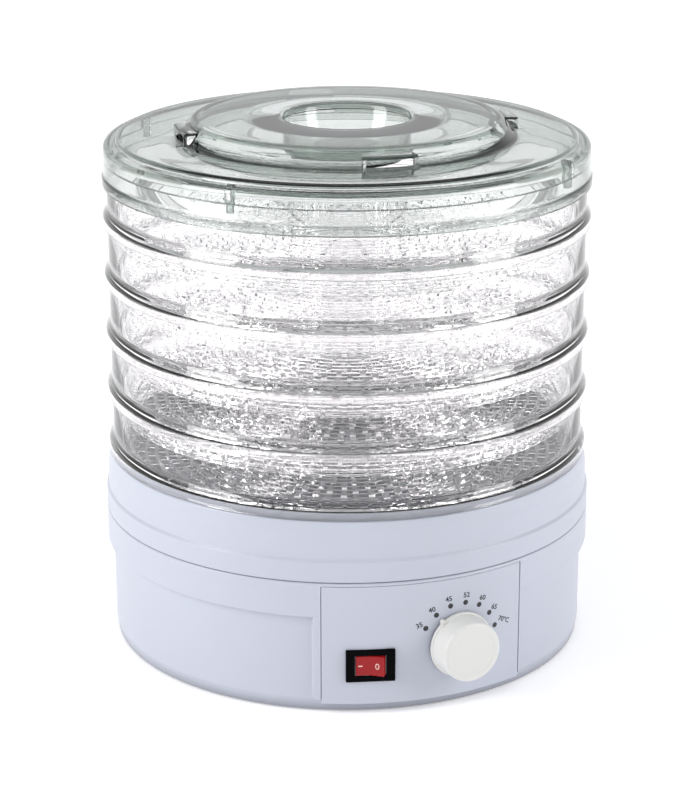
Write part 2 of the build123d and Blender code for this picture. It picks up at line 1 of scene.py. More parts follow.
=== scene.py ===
"""Food dehydrator: shells, clear trays, controls and finishes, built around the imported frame.

Outlines are lists of (radius, height) in millimetres; every mesh is scaled to metres as it is made.
An azimuth is in degrees about the upright axis, 0 at the front and growing to the right.
"""
import json
from math import atan2, cos, degrees, hypot, pi, radians, sin, sqrt, tan

import bmesh
import bpy
import numpy as np
from bpy.props import FloatProperty, FloatVectorProperty, PointerProperty
from bpy.types import Operator, Panel, PropertyGroup
from mathutils import Matrix, Vector


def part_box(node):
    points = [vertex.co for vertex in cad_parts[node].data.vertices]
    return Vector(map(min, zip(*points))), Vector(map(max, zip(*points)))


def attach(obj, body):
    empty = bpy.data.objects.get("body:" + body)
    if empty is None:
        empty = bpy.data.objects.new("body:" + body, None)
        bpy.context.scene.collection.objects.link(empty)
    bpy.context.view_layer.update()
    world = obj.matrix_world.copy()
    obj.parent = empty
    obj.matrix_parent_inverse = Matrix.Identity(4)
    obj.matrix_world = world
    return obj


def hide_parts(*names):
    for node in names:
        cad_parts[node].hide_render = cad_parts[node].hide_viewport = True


bl_info = {
    "name": "Food dehydrator",
    "version": (1, 0, 0),
    "blender": (4, 5, 0),
    "location": "View3D > Sidebar > Dryer",
    "description": "Builds the visible shells, clear trays, controls and finishes of a stacking food dryer",
    "category": "Object",
}

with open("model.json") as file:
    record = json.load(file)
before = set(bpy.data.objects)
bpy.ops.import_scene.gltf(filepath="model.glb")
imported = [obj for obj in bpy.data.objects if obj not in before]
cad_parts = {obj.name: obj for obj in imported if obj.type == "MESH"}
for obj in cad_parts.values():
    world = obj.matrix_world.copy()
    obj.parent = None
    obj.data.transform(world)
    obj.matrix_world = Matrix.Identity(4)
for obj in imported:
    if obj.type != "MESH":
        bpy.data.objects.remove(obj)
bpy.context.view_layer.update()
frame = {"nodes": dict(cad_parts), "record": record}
MM = 0.001
TRAY_COUNT = 5


def cad_size(node):
    """(largest radius, lowest height, highest height) of a CAD node, in millimetres."""
    low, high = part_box(node)
    return max(high.x, -low.x, high.y, -low.y) / MM, low.z / MM, high.z / MM


# ---------------------------------------------------------------- mesh making
def rounded(corners, steps=5):
    """Outline with arcs at its corners, from (radius, height, fillet) corners of a closed loop."""
    points = []
    count = len(corners)
    for index, (x, y, fillet) in enumerate(corners):
        here = Vector((x, y))
        before = Vector(corners[index - 1][:2]) - here
        after = Vector(corners[(index + 1) % count][:2]) - here
        if fillet <= 0 or before.length == 0 or after.length == 0:
            points.append((x, y))
            continue
        half = before.angle(after) / 2
        reach = min(fillet / tan(half), 0.49 * before.length, 0.49 * after.length)
        radius = reach * tan(half)
        centre = here + (before.normalized() + after.normalized()).normalized() * (radius / sin(half))
        start = here + before.normalized() * reach - centre
        end = here + after.normalized() * reach - centre
        first = atan2(start.y, start.x)
        sweep = (atan2(end.y, end.x) - first + pi) % (2 * pi) - pi
        for step in range(steps + 1):
            angle = first + sweep * step / steps
            points.append((centre.x + radius * cos(angle), centre.y + radius * sin(angle)))
    return points


def even_columns(count, start=0.0, turn=360.0):
    """Azimuths of evenly spaced columns."""
    return [start + turn * index / count for index in range(count)]


def on_ring(radius, azimuth, height):
    """Point in metres from a radius, an azimuth and a height."""
    angle = radians(azimuth)
    return (radius * sin(angle) * MM, -radius * cos(angle) * MM, height * MM)


def new_piece(name, points, faces, smooth_angle=32.0):
    """Mesh object with merged doubles, smooth faces and sharp edges past an angle."""
    mesh = bpy.data.meshes.new(name)
    mesh.from_pydata(points, [], faces)
    work = bmesh.new()
    work.from_mesh(mesh)
    bmesh.ops.remove_doubles(work, verts=work.verts, dist=1e-7)
    bmesh.ops.dissolve_degenerate(work, edges=work.edges, dist=1e-8)
    work.to_mesh(mesh)
    work.free()
    return link_piece(name, mesh, smooth_angle)


def link_piece(name, mesh, smooth_angle=32.0):
    """Put a mesh in the scene as a smooth-shaded object."""
    mesh.polygons.foreach_set("use_smooth", [True] * len(mesh.polygons))
    mesh.set_sharp_from_angle(angle=radians(smooth_angle))
    piece = bpy.data.objects.new(name, mesh)
    bpy.context.scene.collection.objects.link(piece)
    return piece


def lathe(loop, columns=256):
    """Points and faces of a closed (radius, height) loop turned about the axis.

    The loop runs up its outer side, so that faces look outwards.
    """
    count = len(loop)
    points = [on_ring(r, azimuth, z) for azimuth in even_columns(columns) for r, z in loop]
    faces = []
    for column in range(columns):
        here = column * count
        there = (column + 1) % columns * count
        for index in range(count):
            after = (index + 1) % count
            faces.append((here + index, there + index, there + after, here + after))
    return points, faces


def ring_cells(places, solid, azimuths, wrap=True):
    """Points and faces of the solid cells of a ring-shaped grid.

    places has a (radius, height) for each path step, layer and column; solid says which cells are filled.
    """
    steps, layers, columns = places.shape[:3]
    angles = np.radians(np.asarray(azimuths, float))
    r, z = places[..., 0], places[..., 1]
    points = np.stack([r * np.sin(angles), -r * np.cos(angles), z], -1).reshape(-1, 3) * MM
    index = np.arange(steps * layers * columns).reshape(steps, layers, columns)
    ahead = np.roll(index, -1, 2)
    if not wrap:
        solid[..., -1] = False
    padded = np.pad(solid, ((1, 1), (1, 1), (0, 0)))
    core = padded[1:-1, 1:-1]
    faces = []

    def collect(mask, corners):
        cells = np.argwhere(mask)
        for step, layer, column in cells:
            faces.append(tuple(int(grid[step + a, layer + b, column]) for grid, a, b in corners))

    collect(core & ~padded[2:, 1:-1], [(index, 1, 0), (ahead, 1, 0), (ahead, 1, 1), (index, 1, 1)])
    collect(core & ~padded[:-2, 1:-1], [(index, 0, 1), (ahead, 0, 1), (ahead, 0, 0), (index, 0, 0)])
    collect(core & ~padded[1:-1, 2:], [(index, 0, 1), (index, 1, 1), (ahead, 1, 1), (ahead, 0, 1)])
    collect(core & ~padded[1:-1, :-2], [(ahead, 0, 0), (ahead, 1, 0), (index, 1, 0), (index, 0, 0)])
    collect(core & ~np.roll(core, -1, 2), [(ahead, 0, 0), (ahead, 0, 1), (ahead, 1, 1), (ahead, 1, 0)])
    collect(core & ~np.roll(core, 1, 2), [(index, 1, 0), (index, 1, 1), (index, 0, 1), (index, 0, 0)])
    used = sorted({corner for face in faces for corner in face})
    renumber = {old: new for new, old in enumerate(used)}
    return (
        [tuple(points[old]) for old in used],
        [tuple(renumber[corner] for corner in face) for face in faces],
    )


def joined(*parts):
    """Points and faces of several parts as one."""
    points, faces = [], []
    for part_points, part_faces in parts:
        offset = len(points)
        points += part_points
        faces += [tuple(corner + offset for corner in face) for face in part_faces]
    return points, faces


def moved(part, matrix):
    """A part's points and faces, moved by a matrix."""
    points, faces = part
    return [tuple(matrix @ Vector(point)) for point in points], faces


def part_of(work):
    """Points and faces of a bmesh, which is freed."""
    work.verts.index_update()
    part = ([tuple(v.co) for v in work.verts], [tuple(v.index for v in f.verts) for f in work.faces])
    work.free()
    return part


def raised(work, faces, vector):
    """Pull faces out along a vector into a closed solid."""
    grown = bmesh.ops.extrude_face_region(work, geom=faces)
    lifted = [v for v in grown["geom"] if isinstance(v, bmesh.types.BMVert)]
    bmesh.ops.translate(work, verts=lifted, vec=vector)
    bmesh.ops.recalc_face_normals(work, faces=work.faces)


def bar(size, bevel, segments=2):
    """Box with rounded edges, centred on the origin; sizes in millimetres."""
    work = bmesh.new()
    bmesh.ops.create_cube(work, size=1.0)
    bmesh.ops.scale(work, verts=work.verts, vec=[side * MM for side in size])
    bmesh.ops.bevel(work, geom=work.edges, offset=bevel * MM, segments=segments, profile=0.5, affect="EDGES")
    return part_of(work)


def tube(path, radius, sides=10):
    """Closed round tube along a list of Vectors, in metres."""
    points, faces = [], []
    for index, place in enumerate(path):
        along = (path[min(index + 1, len(path) - 1)] - path[max(index - 1, 0)]).normalized()
        turn = along.to_track_quat("Z", "Y")
        for side in range(sides):
            angle = 2 * pi * side / sides
            points.append(tuple(place + turn @ Vector((cos(angle), sin(angle), 0)) * radius))
    for index in range(len(path) - 1):
        for side in range(sides):
            beside = (side + 1) % sides
            here, there = index * sides, (index + 1) * sides
            faces.append((here + side, here + beside, there + beside, there + side))
    faces.append(tuple(reversed(range(sides))))
    faces.append(tuple(range((len(path) - 1) * sides, len(path) * sides)))
    return points, faces


def outward(radius, azimuth, height):
    """Matrix of a frame that looks out of the machine: x to the right, y up, z outwards; metres."""
    angle = radians(azimuth)
    turn = Matrix(((cos(angle), 0, sin(angle)), (sin(angle), 0, -cos(angle)), (0, 1, 0))).to_4x4()
    return Matrix.Translation(on_ring(radius, azimuth, height)) @ turn


# ---------------------------------------------------------------- shader effects
def new_group(name, inputs, outputs):
    """Empty shader node group with named sockets."""
    group = bpy.data.node_groups.new(name, "ShaderNodeTree")
    for label, kind, default in inputs:
        socket = group.interface.new_socket(name=label, in_out="INPUT", socket_type=kind)
        socket.default_value = default
    for label, kind in outputs:
        group.interface.new_socket(name=label, in_out="OUTPUT", socket_type=kind)
    enter = group.nodes.new("NodeGroupInput")
    leave = group.nodes.new("NodeGroupOutput")
    return group, enter, leave


def wire(tree, *pairs):
    """Link pairs of sockets."""
    for source, target in pairs:
        tree.links.new(source, target)


def noise_node(tree, scale, detail, source):
    """Noise texture on the object's own coordinates."""
    node = tree.nodes.new("ShaderNodeTexNoise")
    node.inputs["Scale"].default_value = scale
    node.inputs["Detail"].default_value = detail
    tree.links.new(source, node.inputs["Vector"])
    return node


def math_node(tree, operation, **fixed):
    """Math node; fixed gives the values of its unlinked inputs, such as second=0.5."""
    node = tree.nodes.new("ShaderNodeMath")
    node.operation = operation
    for place, value in fixed.items():
        node.inputs[("first", "second", "third").index(place)].default_value = value
    return node


def skin_group():
    """Moulded skin: fine grain in the surface, slow mottle in the colour and gloss."""
    group, enter, leave = new_group(
        "Moulded skin",
        [
            ("Color", "NodeSocketColor", (0.8, 0.8, 0.8, 1.0)),
            ("Roughness", "NodeSocketFloat", 0.35),
            ("Grain", "NodeSocketFloat", 0.1),
            ("Grain Scale", "NodeSocketFloat", 1800.0),
            ("Mottle", "NodeSocketFloat", 0.03),
        ],
        [("Color", "NodeSocketColor"), ("Roughness", "NodeSocketFloat"), ("Normal", "NodeSocketVector")],
    )
    place = group.nodes.new("ShaderNodeTexCoord").outputs["Object"]
    grain = noise_node(group, 1800.0, 2.0, place)
    wire(group, (enter.outputs["Grain Scale"], grain.inputs["Scale"]))
    slow = noise_node(group, 14.0, 3.0, place)
    bump = group.nodes.new("ShaderNodeBump")
    bump.inputs["Distance"].default_value = 0.0002
    wire(
        group,
        (grain.outputs["Fac"], bump.inputs["Height"]),
        (enter.outputs["Grain"], bump.inputs["Strength"]),
        (bump.outputs["Normal"], leave.inputs["Normal"]),
    )
    spread = math_node(group, "SUBTRACT", second=0.5)
    amount = math_node(group, "MULTIPLY")
    value = math_node(group, "ADD", second=1.0)
    tint = group.nodes.new("ShaderNodeHueSaturation")
    gloss = math_node(group, "MULTIPLY")
    wire(
        group,
        (slow.outputs["Fac"], spread.inputs[0]),
        (spread.outputs[0], amount.inputs[0]),
        (enter.outputs["Mottle"], amount.inputs[1]),
        (amount.outputs[0], value.inputs[0]),
        (value.outputs[0], tint.inputs["Value"]),
        (enter.outputs["Color"], tint.inputs["Color"]),
        (tint.outputs["Color"], leave.inputs["Color"]),
        (enter.outputs["Roughness"], gloss.inputs[0]),
        (value.outputs[0], gloss.inputs[1]),
        (gloss.outputs[0], leave.inputs["Roughness"]),
    )
    return group


def flow_group():
    """Clear moulding: the slow ripple of the mould and patches of finer polish."""
    group, enter, leave = new_group(
        "Clear flow",
        [
            ("Roughness", "NodeSocketFloat", 0.03),
            ("Ripple", "NodeSocketFloat", 0.1),
        ],
        [("Roughness", "NodeSocketFloat"), ("Normal", "NodeSocketVector")],
    )
    place = group.nodes.new("ShaderNodeTexCoord").outputs["Object"]
    ripple = noise_node(group, 22.0, 1.5, place)
    bump = group.nodes.new("ShaderNodeBump")
    bump.inputs["Distance"].default_value = 0.002
    polish = noise_node(group, 9.0, 3.0, place)
    gloss = math_node(group, "MULTIPLY_ADD", third=0.006)
    wire(
        group,
        (ripple.outputs["Fac"], bump.inputs["Height"]),
        (enter.outputs["Ripple"], bump.inputs["Strength"]),
        (bump.outputs["Normal"], leave.inputs["Normal"]),
        (polish.outputs["Fac"], gloss.inputs[0]),
        (enter.outputs["Roughness"], gloss.inputs[1]),
        (gloss.outputs[0], leave.inputs["Roughness"]),
    )
    return group


def brush_group():
    """Rolled or drawn metal: fine streaks in gloss and colour."""
    group, enter, leave = new_group(
        "Drawn metal",
        [
            ("Color", "NodeSocketColor", (0.6, 0.6, 0.6, 1.0)),
            ("Roughness", "NodeSocketFloat", 0.35),
            ("Stretch", "NodeSocketVector", (900.0, 900.0, 40.0)),
        ],
        [("Color", "NodeSocketColor"), ("Roughness", "NodeSocketFloat"), ("Normal", "NodeSocketVector")],
    )
    place = group.nodes.new("ShaderNodeTexCoord").outputs["Object"]
    stretch = group.nodes.new("ShaderNodeVectorMath")
    stretch.operation = "MULTIPLY"
    streaks = noise_node(group, 1.0, 3.0, stretch.outputs["Vector"])
    bump = group.nodes.new("ShaderNodeBump")
    bump.inputs["Distance"].default_value = 0.0001
    bump.inputs["Strength"].default_value = 0.25
    tone = group.nodes.new("ShaderNodeMapRange")
    tone.inputs["To Min"].default_value = 0.85
    tone.inputs["To Max"].default_value = 1.12
    tint = group.nodes.new("ShaderNodeHueSaturation")
    gloss = math_node(group, "MULTIPLY")
    wire(
        group,
        (place, stretch.inputs[0]),
        (enter.outputs["Stretch"], stretch.inputs[1]),
        (streaks.outputs["Fac"], bump.inputs["Height"]),
        (bump.outputs["Normal"], leave.inputs["Normal"]),
        (streaks.outputs["Fac"], tone.inputs["Value"]),
        (tone.outputs["Result"], tint.inputs["Value"]),
        (enter.outputs["Color"], tint.inputs["Color"]),
        (tint.outputs["Color"], leave.inputs["Color"]),
        (enter.outputs["Roughness"], gloss.inputs[0]),
        (tone.outputs["Result"], gloss.inputs[1]),
        (gloss.outputs[0], leave.inputs["Roughness"]),
    )
    return group


EFFECTS = {"skin": skin_group, "flow": flow_group, "brush": brush_group}


def effect(tree, kind):
    """Place a shared effect in a material, making its group the first time."""
    key = {"skin": "Moulded skin", "flow": "Clear flow", "brush": "Drawn metal"}[kind]
    node = tree.nodes.new("ShaderNodeGroup")
    node.node_tree = bpy.data.node_groups.get(key) or EFFECTS[kind]()
    return node


def new_material(name):
    """(material, tree, shader) with a Principled shader wired to the output."""
    material = bpy.data.materials.new(name)
    material.use_nodes = True
    tree = material.node_tree
    shader = tree.nodes.get("Principled BSDF")
    return material, tree, shader


def feed(tree, source, shader):
    """Link an effect's outputs to the sockets of the shader that they belong to."""
    for output in source.outputs:
        tree.links.new(output, shader.inputs["Base Color" if output.name == "Color" else output.name])


def moulded(name, color, roughness, grain=0.1, scale=1800.0, mottle=0.03, coat=0.0, gloss=0.5):
    """Opaque moulded plastic or rubber."""
    material, tree, shader = new_material(name)
    skin = effect(tree, "skin")
    skin.inputs["Color"].default_value = (*color, 1.0)
    skin.inputs["Roughness"].default_value = roughness
    skin.inputs["Grain"].default_value = grain
    skin.inputs["Grain Scale"].default_value = scale
    skin.inputs["Mottle"].default_value = mottle
    feed(tree, skin, shader)
    shader.inputs["Specular IOR Level"].default_value = gloss
    shader.inputs["Coat Weight"].default_value = coat
    shader.inputs["Coat Roughness"].default_value = 0.08
    return material


def clear(name, color, roughness, ripple, index=1.49, depth_tint=None, density=0.0):
    """See-through moulded plastic; depth_tint darkens it the further light travels inside."""
    material, tree, shader = new_material(name)
    flow = effect(tree, "flow")
    flow.inputs["Roughness"].default_value = roughness
    flow.inputs["Ripple"].default_value = ripple
    feed(tree, flow, shader)
    shader.inputs["Base Color"].default_value = (*color, 1.0)
    shader.inputs["Transmission Weight"].default_value = 1.0
    shader.inputs["IOR"].default_value = index
    if depth_tint:
        inside = tree.nodes.new("ShaderNodeVolumeAbsorption")
        inside.inputs["Color"].default_value = (*depth_tint, 1.0)
        inside.inputs["Density"].default_value = density
        wire(tree, (inside.outputs["Volume"], tree.nodes["Material Output"].inputs["Volume"]))
    return material


def metal(name, color, roughness, stretch=(900.0, 900.0, 40.0)):
    """Rolled, drawn or turned metal."""
    material, tree, shader = new_material(name)
    drawn = effect(tree, "brush")
    drawn.inputs["Color"].default_value = (*color, 1.0)
    drawn.inputs["Roughness"].default_value = roughness
    drawn.inputs["Stretch"].default_value = stretch
    feed(tree, drawn, shader)
    shader.inputs["Metallic"].default_value = 1.0
    return material


def paint(piece, material):
    """Give a piece one material in every slot."""
    if piece.data.materials:
        for index in range(len(piece.data.materials)):
            piece.data.materials[index] = material
    else:
        piece.data.materials.append(material)


def finish_piece(piece, body, slot, material, *nodes):
    """Paint a piece, make it ride on its body and hide the CAD nodes it stands for."""
    paint(piece, material)
    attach(piece, body)
    if nodes:
        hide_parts(*nodes)


def finish_named(name):
    """Shared material of a finish, made once from the settings."""
    slot, name = name, f"{name}_finish"
    found = bpy.data.materials.get(name)
    if found:
        return found
    looks = bpy.context.scene.dryer_finishes
    makers = {
        "white_plastic": lambda: case_plastic(name, looks.case_color),
        "clear_plastic": lambda: clear(name, looks.tray_color, 0.004, 0.02),
        "smoke_plastic": lambda: clear(name, (1.0, 1.0, 1.0), 0.004, 0.015, 1.5, looks.lid_color, 280.0),
        "knob_plastic": lambda: moulded(name, looks.knob_color, 0.30, grain=0.04, mottle=0.02),
        "black_plastic": lambda: moulded(name, (0.0015, 0.0015, 0.002), 0.12, grain=0.02, mottle=0.1, gloss=0.03),
        "red_plastic": lambda: red_lens(name, looks.rocker_color),
        "mark_ink": lambda: moulded(name, (0.02, 0.02, 0.022), 0.5, grain=0.02, mottle=0.2),
        "symbol_ink": lambda: moulded(name, (0.86, 0.62, 0.55), 0.4, grain=0.02, mottle=0.1),
        "grey_plastic": lambda: moulded(name, (0.32, 0.33, 0.35), 0.45, grain=0.15),
        "foot_rubber": lambda: moulded(name, (0.045, 0.045, 0.047), 0.75, grain=0.35, scale=900.0, mottle=0.15),
        "steel": lambda: metal(name, (0.60, 0.60, 0.61), 0.34),
        "aluminium": lambda: metal(name, (0.80, 0.80, 0.81), 0.30, (60.0, 60.0, 700.0)),
        "copper_wire": lambda: metal(name, (0.72, 0.30, 0.12), 0.38, (40.0, 40.0, 1400.0)),
        "heater_wire": lambda: metal(name, (0.30, 0.27, 0.26), 0.55, (500.0, 500.0, 500.0)),
        "mica": lambda: moulded(name, (0.52, 0.43, 0.27), 0.35, grain=0.3, scale=260.0, mottle=0.35, coat=0.3),
        "lead_black": lambda: moulded(name, (0.02, 0.02, 0.02), 0.42, grain=0.1),
        "lead_white": lambda: moulded(name, (0.80, 0.80, 0.77), 0.42, grain=0.1),
        "lead_red": lambda: moulded(name, (0.50, 0.03, 0.02), 0.42, grain=0.1),
    }
    return makers[slot]()


def case_plastic(name, color):
    """White plastic of the case, with painted shade darkening its lowest few millimetres, where it meets the worktop.
    """
    material = moulded(name, color, 0.33, grain=0.06, mottle=0.02)
    tree = material.node_tree
    shader = tree.nodes.get("Principled BSDF")
    skin = next(node for node in tree.nodes if node.type == "GROUP")
    # painted shade: the base colour is scaled from 0.55 at 1.5 mm up to full at 8.2 mm height, standing in for the
    # shade at the case's foot
    place = tree.nodes.new("ShaderNodeTexCoord")
    split = tree.nodes.new("ShaderNodeSeparateXYZ")
    height = tree.nodes.new("ShaderNodeMapRange")
    height.inputs["From Min"].default_value = 0.0015
    height.inputs["From Max"].default_value = 0.0082
    height.inputs["To Min"].default_value = 0.55
    painted_foot_shade = tree.nodes.new("ShaderNodeHueSaturation")
    wire(
        tree,
        (place.outputs["Object"], split.inputs["Vector"]),
        (split.outputs["Z"], height.inputs["Value"]),
        (height.outputs["Result"], painted_foot_shade.inputs["Value"]),
        (skin.outputs["Color"], painted_foot_shade.inputs["Color"]),
        (painted_foot_shade.outputs["Color"], shader.inputs["Base Color"]),
    )
    return material


def red_lens(name, color):
    """Red see-through cap of the lit rocker."""
    material = moulded(name, color, 0.22, grain=0.05, mottle=0.12, coat=0.15, gloss=0.2)
    shader = material.node_tree.nodes.get("Principled BSDF")
    shader.inputs["Transmission Weight"].default_value = 0.1
    shader.inputs["Coat Roughness"].default_value = 0.03
    return material


# ---------------------------------------------------------------- settings
class DryerFinishes(PropertyGroup):
    """Colours of the visible plastics."""

    case_color: FloatVectorProperty(
        name="Case", description="Colour of the base's white plastic", subtype="COLOR",
        default=(0.445, 0.468, 0.54), min=0.0, max=1.0,
    )
    tray_color: FloatVectorProperty(
        name="Trays", description="Tint of the clear trays", subtype="COLOR",
        default=(0.992, 0.985, 0.988), min=0.0, max=1.0,
    )
    lid_color: FloatVectorProperty(
        name="Lid", description="Smoke tint of the lid", subtype="COLOR",
        default=(0.50, 0.57, 0.53), min=0.0, max=1.0,
    )
    knob_color: FloatVectorProperty(
        name="Knob", description="Colour of the knob", subtype="COLOR",
        default=(0.62, 0.62, 0.60), min=0.0, max=1.0,
    )
    rocker_color: FloatVectorProperty(
        name="Rocker", description="Colour of the switch's rocker", subtype="COLOR",
        default=(0.31, 0.005, 0.007), min=0.0, max=1.0,
    )


class DryerTraySettings(PropertyGroup):
    """Shape of the five trays."""

    basket_drop: FloatProperty(
        name="Basket drop", description="How far the floor hangs below the skirt's edge, mm",
        default=12.0, min=5.0, max=20.0,
    )
    wall: FloatProperty(
        name="Wall", description="Thickness of the tray's wall, mm", default=2.0, min=1.0, max=4.0
    )
    turn: FloatProperty(
        name="Turn", description="Each tray stands turned from the one below", default=100.0, min=-180.0, max=180.0
    )
    mark_radius: FloatProperty(
        name="Lining-up mark", description="Radius of the arched mark on the skirt, mm",
        default=4.4, min=1.0, max=10.0,
    )


class DryerDialSettings(PropertyGroup):
    """The dial round the knob."""

    dot_radius: FloatProperty(
        name="Dot circle", description="Radius of the circle of dots, mm", default=27.2, min=20.0, max=40.0
    )
    dot_size: FloatProperty(
        name="Dot size", description="Radius of one dot, mm", default=1.75, min=0.5, max=4.0
    )
    first_angle: FloatProperty(
        name="First dot", description="Angle of the lowest temperature from straight up", default=-60.0
    )
    step_angle: FloatProperty(
        name="Step", description="Angle from one dot to the next", default=22.7
    )


class DryerStageSettings(PropertyGroup):
    """Camera, lights and floor."""

    lens: FloatProperty(name="Lens", description="Focal length, mm", default=111.2, min=20.0, max=300.0)
    distance: FloatProperty(
        name="Distance", description="Camera's distance in front of the axis", default=1.5806, unit="LENGTH"
    )
    height: FloatProperty(name="Height", description="Camera's height", default=0.6779, unit="LENGTH")
    pitch: FloatProperty(name="Pitch", description="Downward tilt, degrees", default=18.28)
    key: FloatProperty(name="Left softbox", description="Power of the left soft light, W", default=42.0, min=0.0)
    fill: FloatProperty(name="Right softbox", description="Power of the right soft light, W", default=26.0, min=0.0)
    top: FloatProperty(name="Top softbox", description="Power of the soft light overhead, W", default=8.0, min=0.0)
    glow: FloatProperty(name="Floor glow", description="Light of the lit floor sheet", default=0.64, min=0.0)
    sky: FloatProperty(name="Surround", description="Brightness of the pale surround", default=0.9, min=0.0)


# ---------------------------------------------------------------- trays
def tray_part(tray):
    """Points and faces of one clear tray, its skirt's lower edge at height 0."""
    skirt_r, low, high = cad_size("tray_1")
    drop = tray.basket_drop
    rim_z = high - low - drop
    wall_out = skirt_r - 3.0
    wall_in = wall_out - tray.wall
    band_out, band_in = skirt_r - 9.0, skirt_r - 11.0
    hub_in, hub_out = 37.5, 40.0
    ring_pitch = 7.4
    ring_rib = 2.4
    rings = []
    radius = hub_out + 3.0
    while radius + ring_pitch < band_in:
        rings += [radius, radius + ring_pitch - ring_rib]
        radius += ring_pitch
    path = [hub_in, hub_out, *rings, band_in - 5.0, band_in, band_out, wall_in, wall_out]
    path += [wall_out + 0.4, skirt_r - 1.8, skirt_r - 0.8, skirt_r]
    heights = [-drop, 0.8 - drop, 2.5 - drop, -8.0, -4.6, -3.4, 0.0, 0.5, 4.8, 7.2, 13.5, rim_z - 0.6, rim_z]
    azimuths = even_columns(288)
    steps, layers, columns = len(path), len(heights), len(azimuths)
    places = np.zeros((steps, layers, columns, 2))
    places[..., 0] = np.array(path)[:, None, None]
    places[..., 1] = np.array(heights)[None, :, None]

    def at(value):
        return min(range(steps), key=lambda step: abs(path[step] - value))

    hub, band, outer_band = at(hub_in), at(band_in), at(band_out)
    inner, outer, skirt_in, skirt = at(wall_in), at(wall_out), at(wall_out + 0.4), steps - 1
    skirt_edge, shoulder, rim = 6, 9, 12
    # the skirt's outside eases into the wall, and its edges are softened
    for step, (r, z) in {
        skirt: (skirt_r, 5.0), skirt - 1: (skirt_r - 0.25, 6.6), skirt - 2: (skirt_r - 1.1, 8.4),
        skirt_in: (wall_out + 0.9, 10.6), outer: (wall_out + 0.15, 12.6), inner: (wall_in, 9.4),
        outer_band: (band_out, 7.6), band: (band_in, 7.0),
    }.items():
        places[step, shoulder] = (r, z)
    places[skirt, skirt_edge] = (skirt_r - 0.4, 0.0)
    places[skirt_in, skirt_edge] = (wall_out + 0.7, 0.0)
    places[outer, rim] = (wall_out - 0.5, rim_z)
    places[inner, rim] = (wall_in + 0.5, rim_z)

    solid = np.zeros((steps - 1, layers - 1, columns), bool)
    column = np.arange(columns)
    post = column % 4 == 3                      # a post after each window of the side band
    solid[hub, 0:9] = True                      # centre ring
    solid[hub, 3:8, :] = (column % 8 < 3)       # its upright slots
    solid[hub + 1:band, 0:2] = True
    for step in range(hub + 2, band, 2):        # floor slots between rings
        inner_zone, middle_zone = path[step] < 62, path[step] < 104
        spokes = 16 if inner_zone else 32 if middle_zone else 48
        stagger = (step // 2 % 2) * (9 if inner_zone else 4 if middle_zone else 3)
        solid[step, 0:2] = (column + stagger) % (columns // spokes) < (2 if middle_zone else 1)
    solid[band, 0:9] = True                     # side band with its two rows of windows
    solid[band, 1] = post
    solid[band, 3] = post
    solid[band - 1, 0:2] = post
    solid[band:skirt, 8] = True                 # shoulder
    solid[inner, 9:rim] = True                  # wall
    solid[skirt_in:skirt, skirt_edge:9] = True           # skirt
    return ring_cells(places, solid, azimuths)


def tray_mark(tray):
    """Arched mark on the skirt that shows how trays line up."""
    skirt_r = cad_size("tray_1")[0]
    path = []
    for index in range(17):
        angle = pi * index / 16
        across = tray.mark_radius * cos(angle)
        rise = 0.9 + tray.mark_radius * 0.95 * sin(angle)
        path.append(Vector(on_ring(skirt_r - 0.05, degrees(across / skirt_r), rise)))
    return tube(path, 0.55 * MM, 8)


class DRYER_OT_trays(Operator):
    """Build the five clear trays"""

    bl_idname = "dryer.trays"
    bl_label = "Clear trays"

    def execute(self, context):
        tray = context.scene.dryer_trays
        part = joined(tray_part(tray), tray_mark(tray))
        material = finish_named("clear_plastic")
        for number in range(1, TRAY_COUNT + 1):
            node = f"tray_{number}"
            edge = cad_size(node)[1] + tray.basket_drop
            turn = Matrix.Rotation(radians(tray.turn * (number - 3)), 4, "Z")
            piece = new_piece(f"clear_tray_{number}", *moved(part, Matrix.Translation((0, 0, edge * MM)) @ turn))
            of_tray = [name for name in frame["nodes"] if name == node or name.startswith(node + "_")]
            finish_piece(piece, node, "clear_plastic", material, *of_tray)
        return {"FINISHED"}


